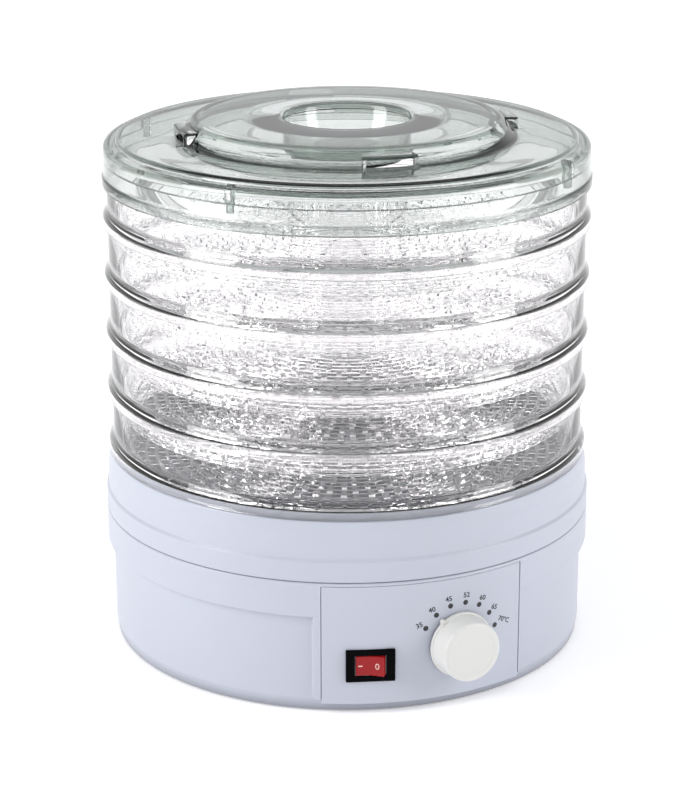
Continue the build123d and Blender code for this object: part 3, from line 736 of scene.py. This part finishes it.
# ---------------------------------------------------------------- lid
def lid_paths():
    """Outer and inner (radius, height) paths of the lid, plain and at a vent hood, from the axis outwards."""
    skirt_r, edge, crown = cad_size("lid")
    rim, plate, well = edge + 26.7, edge + 29.9, edge + 15.2
    wall = 2.4
    plain = [
        (0, well), (20, well), (33.5, well), (36.2, well + 0.8), (37.6, well + 3.0),
        (41.4, crown - 3.2), (42.3, crown - 1.0), (43.8, crown - 0.1), (46, crown),
        (70, crown), (94, crown), (98.6, crown - 0.1), (100.4, crown - 0.7), (101.8, crown - 2.0),
        (103.2, crown - 3.6),
        (104.0, crown - 4.8), (104.5, crown - 5.4), (105.0, crown - 6.1), (107.6, plate + 1.6), (109.0, plate + 0.6),
        (110.6, plate + 0.15), (113.5, plate), (122, plate), (132, plate), (141, plate), (147, plate),
        (148.8, plate - 0.15), (149.7, plate - 0.8), (150.3, rim + 1.2), (151.0, rim + 0.25), (152.2, rim),
        (154.2, rim), (156.2, rim - 0.3), (157.7, rim - 1.3), (158.5, rim - 2.7), (158.8, rim - 4.4),
        (158.85, edge + 16), (158.9, edge + 8.0), (159.1, edge + 7.0), (159.7, edge + 6.2), (skirt_r, edge + 5.4),
        (skirt_r, edge + 0.5), (skirt_r - 0.5, edge),
    ]
    under = [
        (0, well - wall), (20, well - wall), (34.6, well - wall), (37.6, well - wall + 0.8), (39.4, well + 0.2),
        (41.6, well + 10), (43.4, crown - wall - 3.0), (44.6, crown - wall - 0.8), (46.4, crown - wall),
        (70, crown - wall), (92, crown - wall), (96.5, crown - wall), (98.4, crown - wall - 0.5),
        (99.8, crown - wall - 1.9), (101.0, crown - wall - 3.4),
        (101.8, crown - wall - 4.6), (102.4, crown - wall - 5.4), (103.0, crown - wall - 6.2),
        (103.8, plate - wall + 1.6), (103.8, edge + 20.8),
        (104.2, edge + 20.4), (105.8, edge + 20.4), (106.2, edge + 20.8), (106.2, plate - wall), (130, plate - wall),
        (146, plate - wall),
        (147.6, plate - wall - 0.1), (148.4, plate - wall - 0.8),
        (149.0, rim - wall + 1.2), (149.7, rim - wall + 0.25),
        (150.8, rim - wall),
        (153.4, rim - wall), (154.8, rim - wall - 0.3), (155.8, rim - wall - 1.2), (156.3, rim - wall - 2.4),
        (156.5, rim - wall - 4),
        (156.6, edge + 16), (157.0, edge + 8), (157.4, edge + 7), (157.6, edge + 6.2), (157.6, edge + 5.4),
        (157.6, edge + 0.5), (158.0, edge),
    ]
    hood = list(plain)
    hood_under = list(under)
    top = crown - 3.4
    hood[14:21] = [
        (103.2, top), (111.0, top - 0.1), (111.9, top - 0.5), (112.2, top - 1.3),
        (112.2, plate + 1.5), (112.2, plate + 0.5), (112.3, plate + 0.15),
    ]
    hood_under[14:19] = [
        (101.0, top - 1.6), (108.0, top - 1.7), (110.2, top - 1.9), (110.6, top - 2.3), (110.6, plate + 0.5),
    ]
    return plain, under, hood, hood_under


class DRYER_OT_lid(Operator):
    """Build the smoke-tinted lid"""

    bl_idname = "dryer.lid"
    bl_label = "Lid"

    def execute(self, context):
        plain, under, hood, hood_under = lid_paths()
        edge = cad_size("lid")[1]
        vents = (14.0, 104.0, 194.0, 284.0)
        half = 9.0                              # half of a hood's width, degrees
        mouth_step = 17                         # path step left open as the hood's mouth
        azimuths = even_columns(288)
        for vent in vents:
            azimuths = [a for a in azimuths if min(abs(a - vent - s * half) for s in (-1, 1)) > 0.6]
            azimuths = [a for a in azimuths if min(abs(a - vent - s * (half - 0.9)) for s in (-1, 1)) > 0.4]
            azimuths += [vent + s * (half + d) for s in (-1, 1) for d in (-0.1, 0.1)]
            azimuths += [vent + s * (half - 0.95) for s in (-1, 1)]
        azimuths = sorted(azimuths)
        columns = len(azimuths)
        places = np.zeros((len(plain), 2, columns, 2))
        solid = np.ones((len(plain) - 1, 1, columns), bool)
        for column, azimuth in enumerate(azimuths):
            offset = min(abs(azimuth - vent) for vent in vents)
            over = offset < half
            places[:, 1, column] = hood if over else plain
            places[:, 0, column] = hood_under if over else under
        for vent in vents:
            for column, azimuth in enumerate(azimuths):
                after = azimuths[(column + 1) % columns]
                if abs(azimuth - vent) < half - 0.9 and abs(after - vent) < half - 0.9:
                    solid[mouth_step, 0, column] = False
        shell = ring_cells(places, solid, azimuths)
        tabs = []
        for azimuth in (-27.0, 63.0, 153.0, 243.0):
            tabs.append(moved(bar((4.3, 17.0, 4.1), 0.5), outward(152.5, azimuth, edge + 18.3)))
            tabs.append(moved(bar((4.3, 9.5, 2.4), 0.4), outward(155.7, azimuth, edge + 21.2)))
        piece = new_piece("lid_shell", *joined(shell, *tabs), smooth_angle=38.0)
        finish_piece(piece, "lid", "smoke_plastic", finish_named("smoke_plastic"), "lid")
        return {"FINISHED"}


# ---------------------------------------------------------------- base
def soft_step(value, width):
    """0 below -width, 1 above width, eased between."""
    t = min(1.0, max(0.0, (value + width) / (2 * width)))
    return t * t * (3 - 2 * t)


def inside_rectangle(x, y, low, high, corner):
    """Depth of a point inside a rectangle with rounded corners; negative outside."""
    centre_x, centre_y = (low[0] + high[0]) / 2, (low[1] + high[1]) / 2
    dx = abs(x - centre_x) - (high[0] - low[0]) / 2 + corner
    dy = abs(y - centre_y) - (high[1] - low[1]) / 2 + corner
    return corner - hypot(max(dx, 0), max(dy, 0)) - min(max(dx, dy), 0)


def dense(low, high, step, around=()):
    """Sorted values from low to high, with extra ones close around the given places."""
    values = list(np.arange(low, high, step)) + [high]
    for place, reach, fine in around:
        values = [v for v in values if abs(v - place) > reach]
        values += list(np.arange(place - reach, place + reach + fine / 2, fine))
    return sorted(v for v in set(round(float(v), 4) for v in values) if low <= v <= high)


PANEL_LEFT, PANEL_RIGHT = -5.7, 42.6


class DRYER_OT_housing(Operator):
    """Build the lower housing with its recess and the proud frame round the panel"""

    bl_idname = "dryer.housing"
    bl_label = "Lower housing"

    def execute(self, context):
        band_r, bottom, top = cad_size("base_housing")
        seam = top - 6.1
        recess_r = band_r - 4.0
        step_z = 65.6
        panel_z = (7.5, 87.0)
        per_degree = band_r * radians(1)
        frame_low = ((PANEL_LEFT - 2.0) * per_degree, 8.8)
        frame_high = ((PANEL_RIGHT + 0.9) * per_degree, 120.0)
        pocket_low = ((PANEL_LEFT - 0.1) * per_degree, panel_z[0] - 0.2)
        pocket_high = ((PANEL_RIGHT + 0.2) * per_degree, panel_z[1] + 0.2)
        edges = [(PANEL_LEFT - 2.0, 0.9, 0.15), (PANEL_RIGHT + 0.9, 0.7, 0.14)]
        edges += [(PANEL_LEFT - 0.1, 0.14, 0.035), (PANEL_RIGHT + 0.2, 0.14, 0.035)]
        azimuths = dense(-180.0, 178.75, 1.25, edges)
        rows = dense(9.6, seam - 1.2, 3.2, [(step_z, 1.8, 0.3), (12.0, 2.4, 0.5)])
        rows = sorted(rows + [panel_z[1] + d for d in (0.05, 0.15, 0.25, 0.35)])
        foot = [(155.5, bottom), (156.4, bottom), (157.2, bottom + 0.5), (157.5, bottom + 1.4), (157.6, 7.2)]
        foot += [(157.75, 7.9), (158.2, 8.4), (158.5, 8.9)]
        head = [(band_r, seam - 0.9), (band_r - 0.25, seam - 0.3), (band_r - 0.8, seam)]
        head += [(band_r - 2.7, seam), (band_r - 2.7, top), (band_r - 4.9, top)]
        inner_foot = [(155.5, bottom + 0.2)] + [(155.5, z) for z in np.linspace(bottom + 0.6, 8.0, len(foot) - 1)]
        count = len(foot) + len(rows) + len(head)
        places = np.zeros((count, 2, len(azimuths), 2))
        for column, azimuth in enumerate(azimuths):
            path = []
            for z in rows:
                x = azimuth * per_degree
                proud = max(z - step_z, inside_rectangle(x, z, frame_low, frame_high, 4.0))
                r = recess_r + (band_r - recess_r) * soft_step(proud, 1.0)
                pocket = inside_rectangle(x, z, pocket_low, pocket_high, 1.2)
                r -= 2.7 * soft_step(pocket, 0.06)
                path.append((r, z))
            places[:, 1, column] = foot + path + head
            inner = []
            for z in rows:
                inner.append((155.5 if z < 64 else 155.5 + min(1.0, (z - 64) / 6) * 2.1, z))
            inner_head = [(157.6, seam - 0.7), (157.6, seam - 0.5), (157.6, seam - 0.3)]
            inner_head += [(157.6, seam), (157.6, top - 0.2), (157.7, top)]
            places[:, 0, column] = inner_foot + inner + inner_head
        solid = np.ones((count - 1, 1, len(azimuths)), bool)
        part = ring_cells(places, solid, azimuths)
        piece = new_piece("housing_shell", *part, smooth_angle=40.0)
        finish_piece(piece, "base", "white_plastic", finish_named("white_plastic"), "base_housing")
        return {"FINISHED"}


class DRYER_OT_deck(Operator):
    """Build the upper part of the base: stepped shoulder, tray seat and deck"""

    bl_idname = "dryer.deck"
    bl_label = "Top deck"

    def execute(self, context):
        band_r, low, lip_top = cad_size("top_deck")
        seam = lip_top - 44.4
        ledge = lip_top - 4.8
        deck = lip_top - 27.2
        step = lip_top - 29.6
        wall = 2.5
        corners = [
            (band_r - wall, seam, 0.3), (band_r - 0.2, seam, 0.5), (band_r, seam + 1.0, 0.6),
            (band_r, step - 1.6, 1.2),
            (band_r - 1.5, step, 1.2), (band_r - 1.6, ledge - 11, 14), (band_r - 2.9, ledge, 1.8),
            (156.9, ledge, 0.3), (156.9, lip_top, 0.7), (154.9, lip_top, 0.7),
            (154.9, ledge - 2.4, 0.5), (158.5, ledge - 6, 1.5), (158.5, deck, 3.0), (64.5, deck, 3.0),
            (62.0, deck + 7, 0.8), (58.5, deck + 7, 0.5), (58.5, deck - wall, 0.3), (band_r - wall, deck - wall, 0.8),
        ]
        parts = [lathe(rounded(corners, 6), 288)]
        for azimuth in (60.0, 150.0, 240.0, 330.0):
            column = [(1.9, low), (5.0, low), (5.0, deck - wall - 0.1), (1.9, deck - wall - 0.1)]
            parts.append(moved(lathe(column, 40), Matrix.Translation(on_ring(140.0, azimuth, 0))))
        piece = new_piece("deck_shell", *joined(*parts))
        finish_piece(piece, "base", "white_plastic", finish_named("white_plastic"), "top_deck")
        return {"FINISHED"}


class DRYER_OT_panel(Operator):
    """Build the curved control panel"""

    bl_idname = "dryer.panel"
    bl_label = "Control panel"

    def execute(self, context):
        low_z, high_z = 7.5, 87.0
        front, back = 162.5, 160.05
        corner = 1.2
        per_degree = front * radians(1)
        edges = [(PANEL_LEFT + 0.35, 0.35, 0.06), (PANEL_RIGHT - 0.35, 0.35, 0.06)]
        azimuths = dense(PANEL_LEFT, PANEL_RIGHT, 1.2, edges)
        rows = dense(low_z, high_z, 4.0, [(low_z + 0.9, 0.9, 0.15), (high_z - 0.9, 0.9, 0.15)])
        low = (PANEL_LEFT * per_degree, low_z)
        high = (PANEL_RIGHT * per_degree, high_z)
        places = np.zeros((len(rows), 2, len(azimuths), 2))
        for column, azimuth in enumerate(azimuths):
            for row, z in enumerate(rows):
                depth = inside_rectangle(azimuth * per_degree, z, low, high, corner)
                depth = min(max(depth, 0.0), 0.45)
                fall = 0.45 - sqrt(max(0.0, 0.45 ** 2 - (0.45 - depth) ** 2))
                places[row, 1, column] = (front - fall, z)
                places[row, 0, column] = (back, z)
        solid = np.ones((len(rows) - 1, 1, len(azimuths)), bool)
        part = ring_cells(places, solid, azimuths, wrap=False)
        piece = new_piece("panel_face", *part)
        finish_piece(piece, "base", "white_plastic", finish_named("white_plastic"), "control_panel")
        return {"FINISHED"}


# ---------------------------------------------------------------- controls
KNOB_AZ, KNOB_Z = 26.0, 42.5
SWITCH_AZ, SWITCH_Z = 5.2, 34.1
FRONT_R = 162.5


class DRYER_OT_knob(Operator):
    """Build the thermostat knob with its pointer"""

    bl_idname = "dryer.knob"
    bl_label = "Knob"

    def execute(self, context):
        outline = [
            (0.0, 9.6, 0), (17.5, 9.6, 0.8), (17.8, 0.6, 0.3), (21.4, 0.6, 0.4), (21.5, 2.9, 0.7),
            (20.5, 3.3, 0.5), (19.6, 17.3, 2.2), (16.0, 17.3, 1.0), (15.2, 17.1, 1.0), (0.0, 17.1, 0),
        ]
        cap = lathe(rounded(outline, 6), 128)
        socket = lathe([(3.0, 1.0), (5.4, 1.0), (5.4, 9.8), (3.0, 9.8)], 48)
        pointer_angle = radians(37.0)
        work = bmesh.new()
        tip, root, half = 23.9, 19.5, 3.3
        flat = [(-half, root), (half, root), (0.7, tip), (-0.7, tip)]
        base = [work.verts.new((x * MM, y * MM, 0.6 * MM)) for x, y in flat]
        face = work.faces.new(base)
        raised(work, [face], (0, 0, 3.2 * MM))
        bmesh.ops.bevel(work, geom=work.edges, offset=0.5 * MM, segments=2, profile=0.5, affect="EDGES")
        bmesh.ops.rotate(work, verts=work.verts, cent=(0, 0, 0), matrix=Matrix.Rotation(pointer_angle, 3, "Z"))
        nib = part_of(work)
        piece = new_piece("knob_cap", *moved(joined(cap, socket, nib), outward(FRONT_R, KNOB_AZ, KNOB_Z)))
        finish_piece(piece, "knob", "knob_plastic", finish_named("knob_plastic"), "knob")
        return {"FINISHED"}


def framed_box(outer, opening, depth, bevel):
    """Box with a square-cut opening through it, front face at z 0 and body behind; millimetres."""
    work = bmesh.new()
    xs = (-outer[0] / 2, -opening[0] / 2, opening[0] / 2, outer[0] / 2)
    ys = (-outer[1] / 2, -opening[1] / 2, opening[1] / 2, outer[1] / 2)
    grid = [[work.verts.new((x * MM, y * MM, 0)) for y in ys] for x in xs]
    cells = []
    for i in range(3):
        for j in range(3):
            if (i, j) != (1, 1):
                cells.append(work.faces.new((grid[i][j], grid[i + 1][j], grid[i + 1][j + 1], grid[i][j + 1])))
    raised(work, cells, (0, 0, -depth * MM))
    sharp = [e for e in work.edges if e.is_manifold and e.calc_face_angle(0) > 0.5]
    bmesh.ops.bevel(work, geom=sharp, offset=bevel * MM, segments=3, profile=0.5, affect="EDGES")
    return part_of(work)


class DRYER_OT_switch(Operator):
    """Build the switch's frame, its red rocker and the marks on it"""

    bl_idname = "dryer.switch"
    bl_label = "Rocker switch"

    def execute(self, context):
        plate = framed_box((31.3, 21.6), (19.9, 14.1), 2.4, 0.55)
        well = framed_box((26.4, 18.0), (19.9, 14.1), 13.0, 0.2)
        back = bar((26.4, 18.0, 10.6), 0.4)
        place = outward(FRONT_R + 1.5, SWITCH_AZ, SWITCH_Z)
        parts = [
            moved(plate, place),
            moved(well, place @ Matrix.Translation((0, 0, -2.3 * MM))),
            moved(back, place @ Matrix.Translation((0, 0, -20.7 * MM))),
        ]
        piece = new_piece("switch_frame", *joined(*parts))
        finish_piece(piece, "base", "black_plastic", finish_named("black_plastic"), "switch_bezel")

        pin_r, tilt = FRONT_R - 1.0, 10.0
        side_r, middle, half = 9.6, 2.0, 8.9
        tip = middle + half * tan(radians(tilt))
        outline = [(0, middle), (half, tip)]
        first, last = atan2(tip, half), -0.62
        outline += [(side_r * cos(first + (last - first) * k / 12), side_r * sin(first + (last - first) * k / 12))
                    for k in range(1, 13)]
        outline += [(-x, y) for x, y in reversed(outline[1:])]
        work = bmesh.new()
        height = 13.2
        base = [work.verts.new((x * MM, -height / 2 * MM, y * MM)) for x, y in outline]
        face = work.faces.new(base)
        raised(work, [face], (0, height * MM, 0))
        sharp = [e for e in work.edges if e.is_manifold and e.calc_face_angle(0) > 0.6]
        bmesh.ops.bevel(work, geom=sharp, offset=0.45 * MM, segments=3, profile=0.5, affect="EDGES")
        cap = part_of(work)
        pin = moved(lathe([(0, -7.8), (1.3, -7.8), (1.3, 7.8), (0, 7.8)], 24), Matrix.Rotation(radians(-90), 4, "X"))
        lean = outward(pin_r, SWITCH_AZ, SWITCH_Z) @ Matrix.Rotation(radians(-tilt), 4, "Y")
        piece = new_piece("rocker_cap", *moved(joined(cap, pin), lean))
        finish_piece(piece, "rocker", "red_plastic", finish_named("red_plastic"), "switch_rocker")

        slope = radians(tilt)
        dash_place = Matrix.Translation((-6.0 * MM, 0, (middle + 6.0 * tan(slope) + 0.05) * MM))
        dash = moved(bar((2.6, 0.7, 0.16), 0.05, 1), dash_place @ Matrix.Rotation(slope, 4, "Y"))
        ring_path = []
        for index in range(33):
            angle = 2 * pi * index / 32
            ring_path.append(Vector((1.05 * cos(angle), 1.75 * sin(angle), 0)) * MM)
        ring_place = Matrix.Translation((4.6 * MM, 0, (middle + 4.6 * tan(slope) + 0.02) * MM))
        ring = moved(tube(ring_path, 0.26 * MM, 6), ring_place @ Matrix.Rotation(-slope, 4, "Y"))
        piece = new_piece("rocker_marks", *moved(joined(dash, ring), lean))
        finish_piece(piece, "rocker", "knob_plastic", finish_named("symbol_ink"))
        return {"FINISHED"}


def number_part(words, azimuth, height, tilt, size):
    """Points and faces of raised lettering laid round the panel, centred on its place."""
    curve = bpy.data.curves.new("numeral", "FONT")
    curve.body = words
    curve.size = size * MM
    curve.align_x = "CENTER"
    curve.align_y = "CENTER"
    curve.extrude = 0.06 * MM
    curve.offset = 0.07 * MM
    curve.resolution_u = 3
    carrier = bpy.data.objects.new("numeral", curve)
    bpy.context.scene.collection.objects.link(carrier)
    bpy.context.view_layer.update()
    mesh = bpy.data.meshes.new_from_object(carrier.evaluated_get(bpy.context.evaluated_depsgraph_get()))
    spin = Matrix.Rotation(radians(-tilt), 4, "Z")
    points = []
    for vertex in mesh.vertices:
        local = spin @ vertex.co / MM
        around = azimuth + degrees(local.x / FRONT_R)
        points.append(on_ring(FRONT_R + 0.05 + local.z, around, height + local.y))
    faces = [tuple(polygon.vertices) for polygon in mesh.polygons]
    bpy.data.objects.remove(carrier)
    bpy.data.meshes.remove(mesh)
    bpy.data.curves.remove(curve)
    return points, faces


class DRYER_OT_dial(Operator):
    """Print the dial's dots and temperatures round the knob"""

    bl_idname = "dryer.dial"
    bl_label = "Dial marks"

    def execute(self, context):
        dial = context.scene.dryer_dial
        label_gap, label_size, label_lean = 4.9, 4.6, 0.32
        parts = []
        for index, words in enumerate(("35", "40", "45", "52", "60", "65", "70°C")):
            angle = radians(dial.first_angle + dial.step_angle * index)
            across, up = dial.dot_radius * sin(angle), dial.dot_radius * cos(angle)
            azimuth = KNOB_AZ + degrees(across / FRONT_R)
            size = dial.dot_size
            dot = lathe([(0, -0.1), (size - 0.1, -0.1), (size, 0.03), (size - 0.15, 0.12), (0, 0.12)], 32)
            parts.append(moved(dot, outward(FRONT_R, azimuth, KNOB_Z + up)))
            reach = dial.dot_radius + label_gap
            across, up = reach * sin(angle), reach * cos(angle)
            if words.endswith("C"):              # the unit makes this label wider
                across += 2.6
                up += 0.8
            tilt = degrees(angle) * label_lean
            azimuth = KNOB_AZ + degrees(across / FRONT_R)
            parts.append(number_part(words, azimuth, KNOB_Z + up, tilt, label_size))
        piece = new_piece("dial_marks", *joined(*parts))
        finish_piece(piece, "base", "black_plastic", finish_named("mark_ink"))
        return {"FINISHED"}


# ---------------------------------------------------------------- CAD nodes that show as they are
class DRYER_OT_cad_finishes(Operator):
    """Give every carried-over CAD node the finish its record names"""

    bl_idname = "dryer.cad_finishes"
    bl_label = "Finishes of the inner parts"

    def execute(self, context):
        slots = {part["node"]: part["material_slot"] for part in frame["record"]["subparts"]}
        for node, piece in frame["nodes"].items():
            if not piece.hide_render:
                paint(piece, finish_named(slots[node]))
        return {"FINISHED"}


# ---------------------------------------------------------------- stage
def area_light(name, place, aim, size, power, color=(1, 1, 1)):
    """Soft rectangular light that looks at a point."""
    data = bpy.data.lights.new(name, "AREA")
    data.shape = "RECTANGLE"
    data.size, data.size_y = size
    data.energy = power
    data.color = color
    light = bpy.data.objects.new(name, data)
    light.location = place
    light.rotation_mode = "QUATERNION"
    light.rotation_quaternion = (Vector(aim) - Vector(place)).to_track_quat("-Z", "Y")
    bpy.context.scene.collection.objects.link(light)
    return light


class DRYER_OT_stage(Operator):
    """Lay the floor and set the camera, lights and surround"""

    bl_idname = "dryer.stage"
    bl_label = "Stage"

    def execute(self, context):
        scene = context.scene
        stage = scene.dryer_stage
        camera = bpy.data.objects.new("camera", bpy.data.cameras.new("camera"))
        scene.collection.objects.link(camera)
        camera.data.lens = stage.lens
        camera.data.sensor_width = 36.0
        camera.data.shift_x = -0.00875
        camera.data.clip_end = 50.0
        camera.location = (0.0, -stage.distance, stage.height)
        camera.rotation_mode = "XYZ"
        camera.rotation_euler = (radians(90 - stage.pitch), 0.0, 0.0)
        scene.camera = camera

        floor_mesh = bpy.data.meshes.new("floor")
        reach = 12.0
        floor_mesh.from_pydata(
            [(-reach, -reach, 0), (reach, -reach, 0), (reach, reach, 0), (-reach, reach, 0)], [], [(0, 1, 2, 3)]
        )
        floor = bpy.data.objects.new("floor", floor_mesh)
        scene.collection.objects.link(floor)
        paper, tree, shader = new_material("floor_paper")
        shader.inputs["Base Color"].default_value = (0.93, 0.93, 0.94, 1)
        shader.inputs["Roughness"].default_value = 0.9
        shader.inputs["Specular IOR Level"].default_value = 0.0
        # painted shade: the floor's glow is weakest near the machine, rising from 0.4 at 0.25 m to full at 1.6 m
        # away, standing in for the shade round the machine's foot and weakening the glow that lights the case from
        # below
        place = tree.nodes.new("ShaderNodeTexCoord")
        away = tree.nodes.new("ShaderNodeVectorMath")
        away.operation = "LENGTH"
        rise = tree.nodes.new("ShaderNodeMapRange")
        rise.inputs["From Min"].default_value = 0.25
        rise.inputs["From Max"].default_value = 1.6
        rise.inputs["To Min"].default_value = 0.4
        wire(
            tree,
            (place.outputs["Object"], away.inputs[0]),
            (away.outputs["Value"], rise.inputs["Value"]),
            (rise.outputs["Result"], shader.inputs["Emission Color"]),
        )
        shader.inputs["Emission Strength"].default_value = stage.glow
        floor_mesh.materials.append(paper)

        area_light("left_softbox", (-2.0, -0.9, 1.3), (0, 0, 0.2), (1.1, 1.7), stage.key)
        area_light("right_softbox", (2.1, -0.7, 1.1), (0, 0, 0.2), (0.9, 1.5), stage.fill)
        area_light("top_softbox", (0.0, 0.35, 2.3), (0, 0, 0.3), (1.8, 1.2), stage.top)

        world = bpy.data.worlds.new("surround")
        scene.world = world
        world.use_nodes = True
        tree = world.node_tree
        backdrop = tree.nodes["Background"]
        backdrop.inputs["Strength"].default_value = stage.sky
        around = tree.nodes.new("ShaderNodeTexCoord")
        split = tree.nodes.new("ShaderNodeSeparateXYZ")
        ramp = tree.nodes.new("ShaderNodeValToRGB")
        stops = ramp.color_ramp.elements
        stops[0].position, stops[0].color = 0.0, (1.0, 1.0, 1.0, 1)
        stops[1].position, stops[1].color = 1.0, (0.50, 0.51, 0.53, 1)
        for place, grey in ((0.22, 0.95), (0.40, 0.55), (0.65, 0.50)):
            stop = stops.new(place)
            stop.color = (grey, grey, grey * 1.02, 1)
        wire(
            tree,
            (around.outputs["Generated"], split.inputs["Vector"]),
            (split.outputs["Z"], ramp.inputs["Fac"]),
            (ramp.outputs["Color"], backdrop.inputs["Color"]),
        )

        scene.view_settings.view_transform = "Standard"
        scene.view_settings.look = "None"
        scene.cycles.max_bounces = 32
        scene.cycles.transmission_bounces = 32
        scene.cycles.transparent_max_bounces = 32
        scene.cycles.glossy_bounces = 6
        scene.cycles.diffuse_bounces = 4
        scene.cycles.caustics_refractive = True
        return {"FINISHED"}


class DRYER_PT_panel(Panel):
    """Sidebar list of the parts"""

    bl_label = "Dryer"
    bl_idname = "DRYER_PT_panel"
    bl_space_type = "VIEW_3D"
    bl_region_type = "UI"
    bl_category = "Dryer"

    def draw(self, context):
        scene = context.scene
        for group in (scene.dryer_finishes, scene.dryer_trays, scene.dryer_dial, scene.dryer_stage):
            box = self.layout.box()
            for name in group.bl_rna.properties.keys():
                if name not in ("rna_type", "name"):
                    box.prop(group, name)
        for operator in OPERATORS:
            self.layout.operator(operator.bl_idname)


SETTINGS = {
    "dryer_finishes": DryerFinishes,
    "dryer_trays": DryerTraySettings,
    "dryer_dial": DryerDialSettings,
    "dryer_stage": DryerStageSettings,
}
OPERATORS = (
    DRYER_OT_trays,
    DRYER_OT_lid,
    DRYER_OT_housing,
    DRYER_OT_deck,
    DRYER_OT_panel,
    DRYER_OT_knob,
    DRYER_OT_switch,
    DRYER_OT_dial,
    DRYER_OT_cad_finishes,
    DRYER_OT_stage,
)


def register():
    """Add the settings, operators and panel."""
    for settings in SETTINGS.values():
        bpy.utils.register_class(settings)
    for name, settings in SETTINGS.items():
        setattr(bpy.types.Scene, name, PointerProperty(type=settings))
    for operator in OPERATORS:
        bpy.utils.register_class(operator)
    bpy.utils.register_class(DRYER_PT_panel)


def unregister():
    """Remove them again."""
    bpy.utils.unregister_class(DRYER_PT_panel)
    for operator in reversed(OPERATORS):
        bpy.utils.unregister_class(operator)
    for name, settings in SETTINGS.items():
        delattr(bpy.types.Scene, name)
        bpy.utils.unregister_class(settings)


def main():
    """Build everything in order."""
    register()
    bpy.ops.dryer.trays()
    bpy.ops.dryer.lid()
    bpy.ops.dryer.housing()
    bpy.ops.dryer.deck()
    bpy.ops.dryer.panel()
    bpy.ops.dryer.knob()
    bpy.ops.dryer.switch()
    bpy.ops.dryer.dial()
    bpy.ops.dryer.cad_finishes()
    bpy.ops.dryer.stage()


if __name__ == "__main__":
    main()
